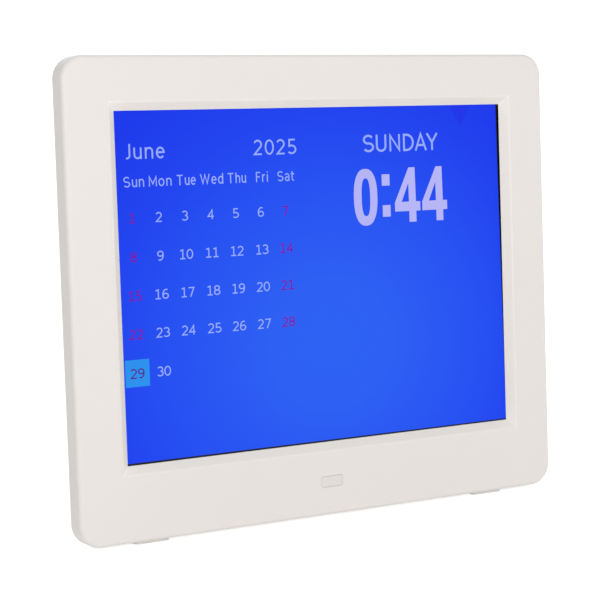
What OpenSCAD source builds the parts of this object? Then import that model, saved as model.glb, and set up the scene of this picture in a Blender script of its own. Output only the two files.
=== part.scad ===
// Desk clock with a wide calendar display, a deep frame and a fold-out leg.
// Pieces are drawn flat, as the clock is seen from the front: X to the right, Y up from the
// frame's bottom edge, Z the depth behind the frame's face. stood() then sets them upright
// and leans them back, with the soles at Z = 0 and the footprint centred on the origin.

/* [Frame] */
// Width of the face beside the window
side_border = 19.3; // [17:0.1:26]
// Height of the face above the window
top_border = 18.8; // [15:0.1:28]
// Height of the face below the window
bottom_border = 26.4; // [23:0.1:36]
// Depth of the frame's side
skirt_d = 8; // [7.8:0.1:9]
// Radius of the frame's corners, seen from the front
corner_r = 8; // [6:0.5:12]
// Radius of the edge round the face
edge_r = 1.5; // [0.8:0.1:2]
// Radius of the rear edge of the side
lip_r = 0.5; // [0.2:0.1:0.7]
// Thickness of the face
face_wall = 2.4; // [2:0.1:2.6]
// Thickness of the side
side_wall = 2.6; // [2.3:0.1:3]
// Thickness of the side round the rear cover
rim_wall = 1.6; // [1.2:0.1:1.9]
// Angle that the clock leans back on its leg
lean = 10; // [7:1:13]

/* [Window] */
// Width of the window at its lip
window_w = 162.4; // [140:0.2:190]
// Height of the window at its lip
window_h = 121.8; // [106:0.2:140]
// Distance of the window's centre to the right of the frame's centre
window_x = 0.7; // [-1:0.1:1]
// Width of the bevel round the window
bevel_w = 3.2; // [2:0.1:4]
// Radius where the bevel meets the face
bevel_r = 2; // [0.5:0.1:3]
// Depth of the window's lip behind the face
lip_d = 3; // [2.8:0.1:3.4]
// Width of the raised rim behind the window
lip_w = 3.6; // [3:0.1:4]

/* [Display] */
// Width of the display module's border beside the window
panel_side = 5.8; // [5.2:0.1:6.6]
// Height of its border above and below the window
panel_ends = 7.1; // [6:0.1:8]
// Depth of the display module
panel_d = 2.6; // [2.4:0.1:3]
// Thickness of the display's two glasses
glass_t = 1.1; // [0.8:0.1:1.4]
// Width that the front glass stands back from the module's edge
glass_in = 2.7; // [2:0.1:2.8]
// Thickness of the tray's side
tray_wall = 0.8; // [0.5:0.1:1]
// Thickness of the tray's back
tray_back = 0.3; // [0.2:0.1:0.4]
// Thickness of the foam gasket in front of the glass
gasket_t = 0.8; // [0.5:0.1:1]
// Width of the foam gasket
gasket_w = 2; // [1.2:0.1:2.2]
// Distance that the gasket stands back from the lip
gasket_in = 1; // [0.6:0.1:1.2]
// Height of the lamp strip under the light guide
led_h = 3.2; // [2:0.1:5]
// Thickness of the clips that hold the display
clip_t = 0.6; // [0.4:0.1:0.8]
// Width of the clips
clip_w = 8; // [6:0.5:12]
// Distance of the clips above and below the window's middle
clip_span = 42.5; // [28:0.5:50]

/* [Rear cover] */
// Overall depth of the clock
total_d = 25; // [25:0.5:30]
// Thickness of the rear cover
cover_wall = 2; // [1.6:0.1:2.2]
// Width of the flat flange beside the raised housing
flange_side = 20.5; // [18:0.5:26]
// Height of the flat flange above the raised housing
flange_top = 19; // [12:0.5:26]
// Height of the raised housing's lower edge above the bottom edge
hump_y = 14; // [12:0.5:16]
// Radius of the raised housing's corners
hump_r = 12; // [8:0.5:16]
// Radius of its rear edge
hump_edge_r = 3; // [1.5:0.1:3.5]
// Slope of its sides, in degrees
hump_draft = 2; // [0.5:0.5:3]
// Diameter of the wall holes, where the screw head goes in
keyhole_d = 8; // [7:0.5:9]
// Width of the wall holes' slots
keyhole_slot = 4; // [3.5:0.1:4.2]
// Distance from a wall hole's centre to the end of its slot
keyhole_rise = 8; // [6:0.5:9]
// Distance of the wall holes from the middle
keyhole_x = 48; // [36:1:56]
// Distance of the wall holes below the row of buttons
keyhole_drop = 20; // [16:0.5:28]
// Number of cooling slots
vent_count = 7; // [3:1:8]
// Distance between cooling slots
vent_pitch = 4; // [3:0.5:4.5]
// Length of a cooling slot
vent_l = 26; // [16:1:30]
// Width of a cooling slot
vent_w = 1.6; // [1:0.1:2]

/* [Leg] */
// Height of the hinge above the housing's lower edge
hinge_rise = 78; // [66:1:86]
// Angle of the open leg from upright
splay = 12; // [8:1:14]
// Width of the leg at its hinge
leg_w = 30; // [24:1:34]
// Width of the leg at its foot
leg_tip_w = 24; // [18:1:24]
// Thickness of the leg
leg_t = 3.2; // [2.6:0.1:3.4]
// Depth of the hollows in the leg's inner face
leg_hollow = 1.6; // [0.8:0.1:1.7]
// Number of hollows in the leg
leg_hollows = 3; // [2:1:5]
// Width of the ribs between them
leg_rib = 2.4; // [1.6:0.1:4]
// Diameter of the hinge barrel
barrel_d = 6; // [5.4:0.1:6.4]
// Diameter of the hinge pin
pin_d = 2.5; // [2:0.1:3]
// Thickness of the hinge's friction washers
washer_t = 0.5; // [0.3:0.1:0.8]
// Length of the rubber foot
foot_l = 9; // [8:0.5:14]
// Rubber below the leg's tongue
foot_sole = 3; // [2:0.1:4]
// Thickness of the tongue inside the rubber foot
tongue_t = 1.8; // [1.2:0.1:2]

/* [Front feet] */
// Length of the rubber pads under the frame
pad_l = 14; // [8:1:24]
// Depth of the rubber pads
pad_d = 4.6; // [3:0.1:4.8]
// Distance of the pads from the middle
pad_x = 72; // [50:1:80]
// Height of the frame's rear edge above the table
pad_lift = 0.4; // [0.2:0.1:1]

/* [Buttons] */
// Width of a button
button_w = 8; // [6:0.5:9]
// Height of a button
button_h = 5; // [4:0.5:6]
// Distance between buttons
button_pitch = 14; // [12:0.5:14.5]
// Distance of the buttons below the board's upper edge
button_drop = 12; // [8:0.5:14]
// Distance of the middle button from the board's right-hand edge
button_in_x = 77; // [72:0.5:80]
// Height that a button stands out of the cover
button_out = 0.8; // [0.6:0.1:1.5]
// Travel of a button
button_travel = 0.5; // [0.3:0.05:0.6]
// Width of the flange that keeps a button in
button_flange = 1; // [0.6:0.1:1.2]

/* [Board] */
// Width of the main board
board_w = 130; // [126:0.5:134]
// Thickness of the main board
board_t = 1.6; // [1.2:0.1:1.8]
// Gap between the board and the housing's side wall
board_side = 1; // [0.6:0.1:1.4]
// Gap between the board and the housing's upper wall
board_top = 6; // [1:0.5:10]
// Height of the board's lower edge above the housing's lower edge
board_rise = 42; // [41:0.5:46]
// Distance of the board's screws from its edges
board_inset = 4; // [3.5:0.1:4.5]
// Height of the card socket's middle above the board's lower edge
card_rise = 22; // [19:0.5:25]
// Width of the card slot
card_w = 24.4; // [24:0.1:25]
// Height of the data socket's middle above the board's lower edge
usb_rise = 45.6; // [44:0.1:47]
// Height of the power socket's middle above the board's lower edge
jack_rise = 59.6; // [58:0.1:62]
// Diameter of the power socket's mouth
jack_d = 6.2; // [5.8:0.1:6.6]
// Diameter of the power socket's centre pin
jack_pin_d = 2; // [1.6:0.1:2.5]
// Diameter of the coin cell
cell_d = 20; // [16:0.5:20]
// Thickness of the coin cell
cell_t = 3.2; // [1.6:0.1:3.2]

/* [Speaker] */
// Diameter of the speaker
speaker_d = 30; // [26:1:30]
// Distance of the speaker's middle from the housing's side
speaker_side = 28; // [22:0.5:32]
// Height of the speaker's middle above the housing's lower edge
speaker_rise = 24; // [20:0.5:24]
// Diameter of the grille's holes
grille_hole = 1.8; // [1.2:0.1:2.2]
// Distance between rings of the grille
grille_pitch = 4.2; // [3.6:0.1:4.2]
// Number of rings in the grille
grille_rings = 2; // [1:1:3]

/* [Remote receiver] */
// Width of the receiver's window in the face
ir_w = 9; // [7:0.2:10]
// Height of the receiver's window
ir_h = 3.8; // [3:0.1:4.4]
// Distance of the receiver below the display module
ir_drop = 7; // [6:0.1:7.4]

/* [Screws] */
// Shank diameter of the case screws
case_screw_d = 2.2; // [2:0.1:2.6]
// Shank diameter of the small screws
small_screw_d = 1.8; // [1.6:0.1:2]
// Diameter of the case bosses
boss_d = 5.6; // [5:0.1:6]
// Diameter of the small posts
post_d = 4; // [3.6:0.1:4.4]
// Distance of the outer case screws from the top and bottom edges
case_screw_y = 12; // [9:0.5:14]

/* [Clearances] */
// Gap between the frame and the rear cover's edge
cover_fit = 0.15; // [0.1:0.05:0.3]
// Gap round a button and a socket
port_fit = 0.2; // [0.15:0.05:0.3]
// Gap round the display module
panel_fit = 0.3; // [0.2:0.05:0.4]
// Gap round the receiver's window
ir_fit = 0.1; // [0.05:0.05:0.15]
// Radial gap between the hinge pin and the leg
pin_fit = 0.05; // [0.03:0.01:0.1]
// Gap between the leg and its pocket
leg_fit = 0.6; // [0.5:0.05:1]
// Radial gap between a screw and its pilot hole
screw_fit = 0.05; // [0.02:0.01:0.1]
// Gap between the open leg's heel and its stop
stop_gap = 0.1; // [0.05:0.05:0.2]

/* [Hidden] */
$fn = 48;

// A cut runs this far past the solid that it opens, and a post this far into its wall.
past = 1;
sink = 0.5;

// Window, frame and display
window_y = bottom_border + window_h / 2;
frame_w = window_w + 2 * side_border;
frame_h = bottom_border + window_h + top_border;
panel_w = window_w + 2 * panel_side;
panel_h = window_h + 2 * panel_ends;

// Depths, from the face back
clip_play = 0.2;
board_gap = 2.3;
panel_z = lip_d + gasket_t;
panel_end = panel_z + panel_d;
cover_z = panel_end + clip_t + clip_play;
cover_end = cover_z + cover_wall;
board_z = cover_z + board_gap;
board_end = board_z + board_t;
hump_in = total_d - cover_wall;

// Ribs round the display
rib_t = 1.2;
rib_l = 10;

// Screws. Each stands in a pilot hole that goes a little way into the face.
pilot_in = 1;
tip_gap = 0.2;
case_head_h = 1.4;
case_head_d = 4;
small_head_h = 1.1;
small_head_d = 3.4;
hole_fit = 0.15;
cup_depth = 2.6;
cup_floor = 1.2;
cup_wall = 1.3;
cup_fit = 0.2;
cross_l = 2.4;
cross_w = 0.6;
cross_depth = 0.6;
beside = (panel_w / 2 + panel_fit + frame_w / 2 - side_wall) / 2;
boss_end = cover_end - cup_depth - cup_floor;
case_spots = [
    for (side = [-1, 1], y = [case_screw_y, frame_h / 2, frame_h - case_screw_y])
        [side * beside, y]
];

// Clips
clip_drop = 0.4;
clip_pad = 2.4;
clip_grip = 3;
clip_gap = 1.2;
clip_z = boss_end - clip_drop;
clip_spots = [
    for (side = [-1, 1], y = [window_y - clip_span, window_y + clip_span])
        [side * beside, y]
];

// Light guide, lamp strip and their tray
glass_play = 0.2;
led_pitch = 9;
led_l = 3;
led_w = 1.4;
led_in = 0.7;
strip_t = 0.4;

// Raised housing
hump_w = frame_w - 2 * flange_side;
hump_h = frame_h - hump_y - flange_top;

// Main board
board_x = hump_w / 2 - cover_wall - board_side - board_w / 2;
board_y = hump_y + board_rise;
board_h = hump_y + hump_h - cover_wall - board_top - board_y;
board_left = board_x - board_w / 2;
board_pilot = 6;
board_spots = [
    for (side = [-1, 1], y = [board_y + board_inset, board_y + board_h - board_inset])
        [board_x + side * (board_w / 2 - board_inset), y]
];

// Components on the board, placed from its lower left corner
chip_x = 53;
chip_y = 26;
chip_side = 14;
chip_t = 1.4;
lead_pitch = 1.6;
lead_l = 1.2;
lead_w = 0.6;
lead_t = 0.3;
leads = 7;
memory_x = 31;
memory_w = 10;
memory_h = 6;
memory_t = 1.2;
crystal_y = 42;
crystal_w = 10;
crystal_h = 4;
crystal_t = 2;
crystal_r = 1.9;
capacitor_y = 44;
capacitor_pitch = 9;
capacitor_d = 6.3;
capacitor_h = 7.7;
capacitor_gap = 5.25;
inductor_gap = 5.35;
inductor_side = 7;
inductor_h = 4;
cell_x = 91;
cell_y = 22;
cell_floor = 0.6;
cell_rim = 1;
cell_play = 0.2;
cell_wall = 1;
cell_step = 0.4;
cell_step_w = 1.5;
wire_socket_x = 23;
wire_socket_y = 5;
wire_socket_pitch = 12;
wire_socket_w = 7;
wire_socket_h = 4.4;
wire_socket_t = 4;

// Flat cable of the display
flex_w = 24;
flex_x = -10;
flex_t = 0.2;
flex_in = 3;
flex_rise = 6;
flex_lead = 12;
flex_turn = 14;
flex_socket_w = 29;
flex_socket_h = 4;
flex_socket_d = 1.5;
flex_low = window_y - panel_h / 2 + flex_in;
flex_high = board_y + flex_rise;

// Sockets
socket_in = 0.8;
socket_end = hump_w / 2 - socket_in;
card_y = board_y + card_rise;
usb_y = board_y + usb_rise;
jack_y = board_y + jack_rise;
jack_l = 15;
jack_w = 9;
jack_h = 11;
jack_rise_z = 6.5;
jack_bore = 10;
jack_pin_in = 1;
jack_axis = board_end + jack_rise_z;
usb_l = 15;
usb_w = 13.2;
usb_h = 7;
usb_sheet = 0.4;
usb_back = 3;
usb_floor = 0.9;
tongue_in = 3;
tongue_end = 0.4;
tongue_low = 3.8;
tongue_h = 1.9;
card_l = 27;
card_back = 2;
card_side = 2.3;
card_h = 2.8;
card_floor = 0.3;
card_room = 2.2;

// Keys: the switches stand on the board and their plungers reach the buttons
key_side = 6;
key_h = 3.5;
key_seat = 1.5;
key_play = 0.1;
plunger_d = 3.5;
plunger_fit = 0.15;
flange_t = 1.2;
button_stub = 1.2;
button_stub_w = 0.5;
button_back = 0.3;
button_in = hump_in - button_back - flange_t;
plunger_end = button_in - button_stub;
button_x = board_x + board_w / 2 - button_in_x;
button_y = board_y + board_h - button_drop;
button_spots = [for (k = [0:6]) button_x + (k - 3) * button_pitch];
keyhole_y = button_y - keyhole_drop;

// Leg and hinge
barrel_r = barrel_d / 2;
hinge_y = hump_y + hinge_rise;
barrel_in = 0.2;
hinge_z = total_d - barrel_r - barrel_in;
pocket_play = 0.3;
pocket_z = hinge_z - barrel_r - pocket_play;
pocket_half = leg_w / 2 + leg_fit;
leg_in = 0.5;
leg_out = leg_t - leg_in;
leg_heel_r = 1.5;
leg_side = 3;
press_fit = 0.02;
washer_in = 0.2;
open_angle = lean + splay;
heel = (hinge_z - pocket_z - leg_in * cos(open_angle) - stop_gap) / sin(open_angle);
pocket_top = hinge_y + norm([heel, leg_out]) + leg_fit;

// The tall components stand beside the leg's pocket
capacitor_x = pocket_half + cover_wall + capacitor_gap + capacitor_d / 2;
inductor_x = capacitor_x + capacitor_d / 2 + inductor_gap + inductor_side / 2;

// Stance
pad_h = 4;
stand_z = skirt_d * sin(lean) + pad_lift;
hinge_up = stand_z + hinge_y * cos(lean) - hinge_z * sin(lean);
leg_l = hinge_up / cos(splay);
foot_back = hinge_z * cos(lean) + hinge_y * sin(lean) + hinge_up * tan(splay) + leg_out / cos(splay);
face_front = edge_r * (cos(lean) + sin(lean) - 1);
stand_y = -(foot_back + face_front) / 2;

// Speaker
speaker_x = hump_w / 2 - speaker_side;
speaker_y = hump_y + speaker_rise;
speaker_fit = 0.2;
speaker_ring_w = 1.5;
speaker_ring_h = 5;
seal_t = 0.8;
seal_w = 2;
speaker_h = 6.2;
magnet_h = 2.8;
speaker_rim_t = 0.9;
speaker_rim_w = 2;
cone_depth = 1.8;
cap_depth = 1.2;

// Remote receiver
ir_y = window_y - panel_h / 2 - ir_drop;
ir_r = 0.6;
ir_flange = 1;
ir_flange_t = 0.8;
ir_board_z = face_wall + 2.5;
ir_board_t = 1;
ir_board_side = 2.5;
ir_board_h = 8;
ir_post_x = 8.8;
ir_body_w = 7;
ir_body_h = 4.6;
ir_body_in = 0.6;
ir_lens_d = 3.4;
ir_lens_in = 0.1;

// Wires
speaker_wire_r = 0.5;
speaker_wire_in = 3;
speaker_wire_gap = 2;
ir_wire_r = 0.4;
ir_wire_gap = 1.1;
wire_end_y = 2.8;
wire_end_z = 2;

// Colours
shell_white = "#ece7e3";
button_white = "#e6e1dd";
rubber_grey = "#8d8c8b";
board_green = "#1f5a3a";
chip_black = "#1d1e20";
steel = "#c4c6c9";
tin = "#b3b5b8";

// ---- Drawing aids ----

// Stands a piece that is drawn flat upright and leans it back.
module stood()
    translate([0, stand_y, stand_z])
        rotate([-lean, 0, 0])
            mirror([0, 1, 0])
                rotate([90, 0, 0])
                    children();

// Turns a piece drawn with the leg folded flat out to the open leg's place.
module swung()
    translate([0, hinge_y, hinge_z])
        rotate([-open_angle, 0, 0])
            children();

// Leaves of a piece only what is above the table.
module above_table()
    difference() {
        children();
        translate([-frame_w, -frame_w, -frame_h])
            cube([2 * frame_w, 2 * frame_w, frame_h]);
    }

module box_2d(w, h) square([w, h], center = true);

module rounded_2d(w, h, r) {
    box_2d(w - 2 * r, h);
    box_2d(w, h - 2 * r);
    for (sx = [-1, 1], sy = [-1, 1])
        translate([sx * (w / 2 - r), sy * (h / 2 - r)])
            circle(r);
}

// A plate of the outline drawn, from one depth to another.
module plate(from, to)
    translate([0, 0, from])
        linear_extrude(to - from)
            children();

function unit(v) = v / norm(v);

// The sliver between the corner p, with neighbours a and b, and an arc of radius r that rounds it.
module corner_sliver(a, p, b, r) {
    u = unit(a - p);
    v = unit(b - p);
    half = acos(u * v) / 2;
    tangent = r / tan(half);
    difference() {
        polygon([p, p + u * tangent, p + v * tangent]);
        translate(p + unit(u + v) * r / sin(half))
            circle(r);
    }
}

// Runs a profile round a rounded rectangle. The profile's x is measured outwards from the
// corners' centres and its y is the depth.
module ring(w, h, r)
    for (k = [0:3])
        rotate(90 * k)
            translate([(k % 2 == 0 ? w : h) / 2 - r, (k % 2 == 0 ? h : w) / 2 - r, 0]) {
                rotate_extrude(angle = 90)
                    children();
                rotate([90, 0, 0])
                    linear_extrude((k % 2 == 0 ? h : w) - 2 * r)
                        children();
            }

function bezier(p, t) =
    (1 - t) ^ 3 * p[0] + 3 * (1 - t) ^ 2 * t * p[1] + 3 * (1 - t) * t ^ 2 * p[2] + t ^ 3 * p[3];

// A thin wire along a Bezier curve, drawn as rings of six points.
module wire(p, r, steps = 12, sides = 6) {
    path = [for (k = [0:steps]) bezier(p, k / steps)];
    along = [for (k = [0:steps]) unit(path[min(k + 1, steps)] - path[max(k - 1, 0)])];
    across = [for (d = along) unit(cross(d, [0.3, 0.1, 1]))];
    points = [
        for (k = [0:steps], s = [0:sides - 1])
            path[k] + r * (cos(360 * s / sides) * across[k]
                + sin(360 * s / sides) * cross(along[k], across[k]))
    ];
    walls = [
        for (k = [0:steps - 1], s = [0:sides - 1])
            let (a = k * sides + s, b = k * sides + (s + 1) % sides)
                each [[a, b + sides, b], [a, a + sides, b + sides]]
    ];
    first = [for (s = [0:sides - 1]) s];
    last = [for (s = [sides - 1:-1:0]) steps * sides + s];
    polyhedron(points, concat(walls, [first, last]));
}

module screw(head_d, head_h, shank_d, shank_l) {
    cylinder(d = head_d, h = head_h);
    translate([0, 0, -shank_l])
        cylinder(d = shank_d, h = shank_l);
}

// ---- Frame ----

module frame_profile()
    difference() {
        polygon([
            [0, 0],
            [corner_r, 0],
            [corner_r, skirt_d],
            [corner_r - rim_wall, skirt_d],
            [corner_r - rim_wall, cover_z],
            [corner_r - side_wall, cover_z],
            [corner_r - side_wall, face_wall],
            [0, face_wall]
        ]);
        corner_sliver([0, 0], [corner_r, 0], [corner_r, skirt_d], edge_r);
        corner_sliver([corner_r, 0], [corner_r, skirt_d], [corner_r - rim_wall, skirt_d], lip_r);
    }

// Section of the window's opening: it widens from the lip to the face and flares out softly.
module window_section(across) {
    lip = across / 2;
    flare = lip + bevel_w;
    polygon([[-lip, lip_d + past], [-lip, lip_d], [-flare, 0], [-flare, -past],
             [flare, -past], [flare, 0], [lip, lip_d], [lip, lip_d + past]]);
    for (side = [0, 1])
        mirror([side, 0])
            corner_sliver([lip, lip_d], [flare, 0], [flare + frame_w, 0], bevel_r);
}

// The window's outline at its lip, made larger all round
module window_2d(by) box_2d(window_w + 2 * by, window_h + 2 * by);

module window_cut()
    translate([window_x, window_y, 0])
        intersection() {
            translate([0, frame_h / 2, 0])
                rotate([90, 0, 0])
                    linear_extrude(frame_h)
                        window_section(window_w);
            translate([-frame_w / 2, 0, 0])
                rotate([90, 0, 90])
                    linear_extrude(frame_w)
                        window_section(window_h);
        }

// Small ribs that keep the display module in its place
module panel_ribs()
    translate([window_x, window_y, 0])
        for (sx = [-1, 1], sy = [-1, 1]) {
            translate([sx * (panel_w / 2 + panel_fit + rib_t / 2), sy * panel_h / 6, 0])
                plate(face_wall, panel_end)
                    box_2d(rib_t, rib_l);
            translate([sx * panel_w / 4, sy * (panel_h / 2 + panel_fit + rib_t / 2), 0])
                plate(face_wall, panel_end)
                    box_2d(rib_l, rib_t);
        }

module front_bezel()
    color(shell_white)
        stood()
            difference() {
                union() {
                    translate([0, frame_h / 2, 0]) {
                        ring(frame_w, frame_h, corner_r)
                            frame_profile();
                        plate(0, face_wall)
                            box_2d(frame_w - 2 * corner_r, frame_h - 2 * corner_r);
                    }
                    translate([window_x, window_y, 0])
                        plate(face_wall, lip_d)
                            window_2d(lip_w);
                    panel_ribs();
                    for (spot = case_spots)
                        translate(spot)
                            plate(face_wall, boss_end)
                                circle(d = boss_d);
                    for (spot = clip_spots)
                        translate(spot)
                            plate(face_wall, clip_z)
                                circle(d = post_d);
                    for (side = [-1, 1])
                        translate([side * ir_post_x, ir_y, 0])
                            plate(face_wall, ir_board_z)
                                circle(d = post_d);
                }
                window_cut();
                translate([0, ir_y, 0]) {
                    plate(-past, face_wall)
                        rounded_2d(ir_w + 2 * ir_fit, ir_h + 2 * ir_fit, ir_r + ir_fit);
                    plate(face_wall - ir_flange_t, face_wall + past)
                        box_2d(ir_w + 2 * (ir_flange + ir_fit), ir_h + 2 * (ir_flange + ir_fit));
                }
                for (spot = case_spots)
                    translate(spot)
                        plate(face_wall - pilot_in, boss_end + past)
                            circle(d = case_screw_d + 2 * screw_fit);
                for (spot = clip_spots)
                    translate(spot)
                        plate(face_wall - pilot_in, clip_z + past)
                            circle(d = small_screw_d + 2 * screw_fit);
                for (side = [-1, 1])
                    translate([side * ir_post_x, ir_y, 0])
                        plate(face_wall - pilot_in, ir_board_z + past)
                            circle(d = small_screw_d + 2 * screw_fit);
            }

// Rubber pads under the frame's bottom edge, cut to the table
module front_feet()
    color(rubber_grey)
        above_table()
            stood()
                for (side = [-1, 1])
                    translate([side * pad_x, 0, skirt_d - lip_r - pad_d / 2])
                        rotate([90, 0, 0])
                            linear_extrude(pad_h)
                                rounded_2d(pad_l, pad_d, pad_d / 2 - 0.1);

module ir_window()
    color("#dcd6d6")
        stood()
            translate([0, ir_y, 0]) {
                plate(0, face_wall)
                    rounded_2d(ir_w, ir_h, ir_r);
                plate(face_wall - ir_flange_t, face_wall)
                    box_2d(ir_w + 2 * ir_flange, ir_h + 2 * ir_flange);
            }

module case_screws()
    color(steel)
        stood()
            for (spot = case_spots)
                translate([spot.x, spot.y, boss_end + cup_floor])
                    difference() {
                        screw(case_head_d, case_head_h, case_screw_d,
                              cup_floor + boss_end - face_wall + pilot_in - tip_gap);
                        plate(case_head_h - cross_depth, case_head_h + past) {
                            box_2d(cross_l, cross_w);
                            box_2d(cross_w, cross_l);
                        }
                    }

// ---- Display ----

module panel_plate(from, to, in)
    translate([window_x, window_y, 0])
        plate(from, to)
            box_2d(panel_w - 2 * in, panel_h - 2 * in);

module lcd_gasket()
    color("#26272a")
        stood()
            translate([window_x, window_y, 0])
                plate(lip_d, panel_z)
                    difference() {
                        window_2d(gasket_in + gasket_w);
                        window_2d(gasket_in);
                    }

// The front glass is a little smaller than the rear one, whose border carries the contacts.
module lcd_glass()
    color("#2a50ee")
        stood() {
            panel_plate(panel_z, panel_z + glass_t / 2, glass_in);
            panel_plate(panel_z + glass_t / 2, panel_z + glass_t, tray_wall + glass_play);
        }

module light_guide()
    color("#e8f0f4")
        stood()
            translate([window_x, window_y + led_h / 2, 0])
                plate(panel_z + glass_t, panel_end - tray_back)
                    box_2d(panel_w - 2 * tray_wall, panel_h - 2 * tray_wall - led_h);

module led_bar()
    color("#f4f1d8")
        stood()
            translate([window_x, window_y - panel_h / 2 + tray_wall + led_h / 2, 0]) {
                plate(panel_end - tray_back - strip_t, panel_end - tray_back)
                    box_2d(panel_w - 2 * tray_wall, led_h);
                leds = floor((panel_w - 2 * tray_wall - led_pitch) / led_pitch);
                for (k = [0:leds])
                    translate([(k - leds / 2) * led_pitch, led_h / 2 - led_in, 0])
                        plate(panel_z + glass_t, panel_end - tray_back - strip_t)
                            box_2d(led_l, led_w);
            }

module lcd_tray()
    color(tin)
        stood()
            difference() {
                panel_plate(panel_z, panel_end, 0);
                panel_plate(panel_z - past, panel_end - tray_back, tray_wall);
            }

// Each clip steps from its post up onto the tray's back.
module lcd_clips()
    color(steel)
        stood()
            for (spot = clip_spots) {
                side = sign(spot.x);
                post = abs(spot.x);
                edge = panel_w / 2 + side * window_x;
                difference() {
                    translate([0, spot.y + clip_w / 2, 0])
                        rotate([90, 0, 0])
                            linear_extrude(clip_w)
                                mirror([side < 0 ? 1 : 0, 0])
                                    polygon([
                                        [post + clip_pad, clip_z],
                                        [post + clip_pad, clip_z + clip_t],
                                        [edge + clip_gap + clip_t, clip_z + clip_t],
                                        [edge + clip_gap + clip_t, panel_end + clip_t],
                                        [edge - clip_grip, panel_end + clip_t],
                                        [edge - clip_grip, panel_end],
                                        [edge + clip_gap, panel_end],
                                        [edge + clip_gap, clip_z]
                                    ]);
                    translate(spot)
                        plate(clip_z - past, clip_z + clip_t + past)
                            circle(d = small_screw_d + 2 * hole_fit);
                }
            }

module clip_screws()
    color(steel)
        stood()
            for (spot = clip_spots)
                translate([spot.x, spot.y, clip_z + clip_t])
                    screw(small_head_d, small_head_h, small_screw_d,
                          clip_t + clip_z - face_wall + pilot_in - tip_gap);

module lcd_flex()
    color("#c9872b")
        stood() {
            z0 = panel_end;
            z1 = board_z - flex_socket_d / 2;
            steps = 16;
            curve = [
                for (k = [0:steps])
                    bezier([
                        [flex_low, z0], [flex_high - flex_lead, z0],
                        [flex_high - flex_turn, z1], [flex_high, z1]
                    ], k / steps)
            ];
            translate([flex_x - flex_w / 2, 0, 0])
                rotate([90, 0, 90])
                    linear_extrude(flex_w)
                        polygon(concat(curve, [for (k = [steps:-1:0]) curve[k] + [0, flex_t]]));
        }

module flex_socket()
    color("#e9e4d8")
        stood()
            translate([flex_x, flex_high, 0])
                difference() {
                    translate([0, flex_socket_h / 2, 0])
                        plate(board_z - flex_socket_d, board_z)
                            box_2d(flex_socket_w, flex_socket_h);
                    plate(board_z - flex_socket_d / 2, board_z - flex_socket_d / 2 + flex_t)
                        box_2d(flex_w + flex_t, flex_socket_h / 2);
                }

// ---- Rear cover ----

module hump_profile(r, from, to, edge) {
    foot = [r, from];
    top = [r - (to - from) * tan(hump_draft), to];
    difference() {
        polygon([[0, from], foot, top, [0, to]]);
        corner_sliver(foot, top, [0, to], edge);
    }
}

// The housing's block, drawn in by its wall for the hollow inside it
module hump_block(in, from, to) {
    w = hump_w - 2 * in;
    h = hump_h - 2 * in;
    r = hump_r - in;
    translate([0, hump_y + hump_h / 2, 0]) {
        ring(w, h, r)
            hump_profile(r, from, to, hump_edge_r - in);
        plate(from, to)
            box_2d(w - 2 * r, h - 2 * r);
    }
}

module keyhole_2d() {
    circle(d = keyhole_d);
    translate([-keyhole_slot / 2, 0])
        square([keyhole_slot, keyhole_rise - keyhole_slot / 2]);
    translate([0, keyhole_rise - keyhole_slot / 2])
        circle(d = keyhole_slot);
}

module grille_2d()
    for (ring = [0:grille_rings], k = [0:max(0, 6 * ring - 1)])
        rotate(ring == 0 ? 0 : k * 60 / ring)
            translate([ring * grille_pitch, 0])
                circle(d = grille_hole);

module vents_2d()
    for (k = [0:vent_count - 1])
        translate([0, (k - (vent_count - 1) / 2) * vent_pitch])
            rounded_2d(vent_l, vent_w, vent_w / 2 - 0.05);

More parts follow.
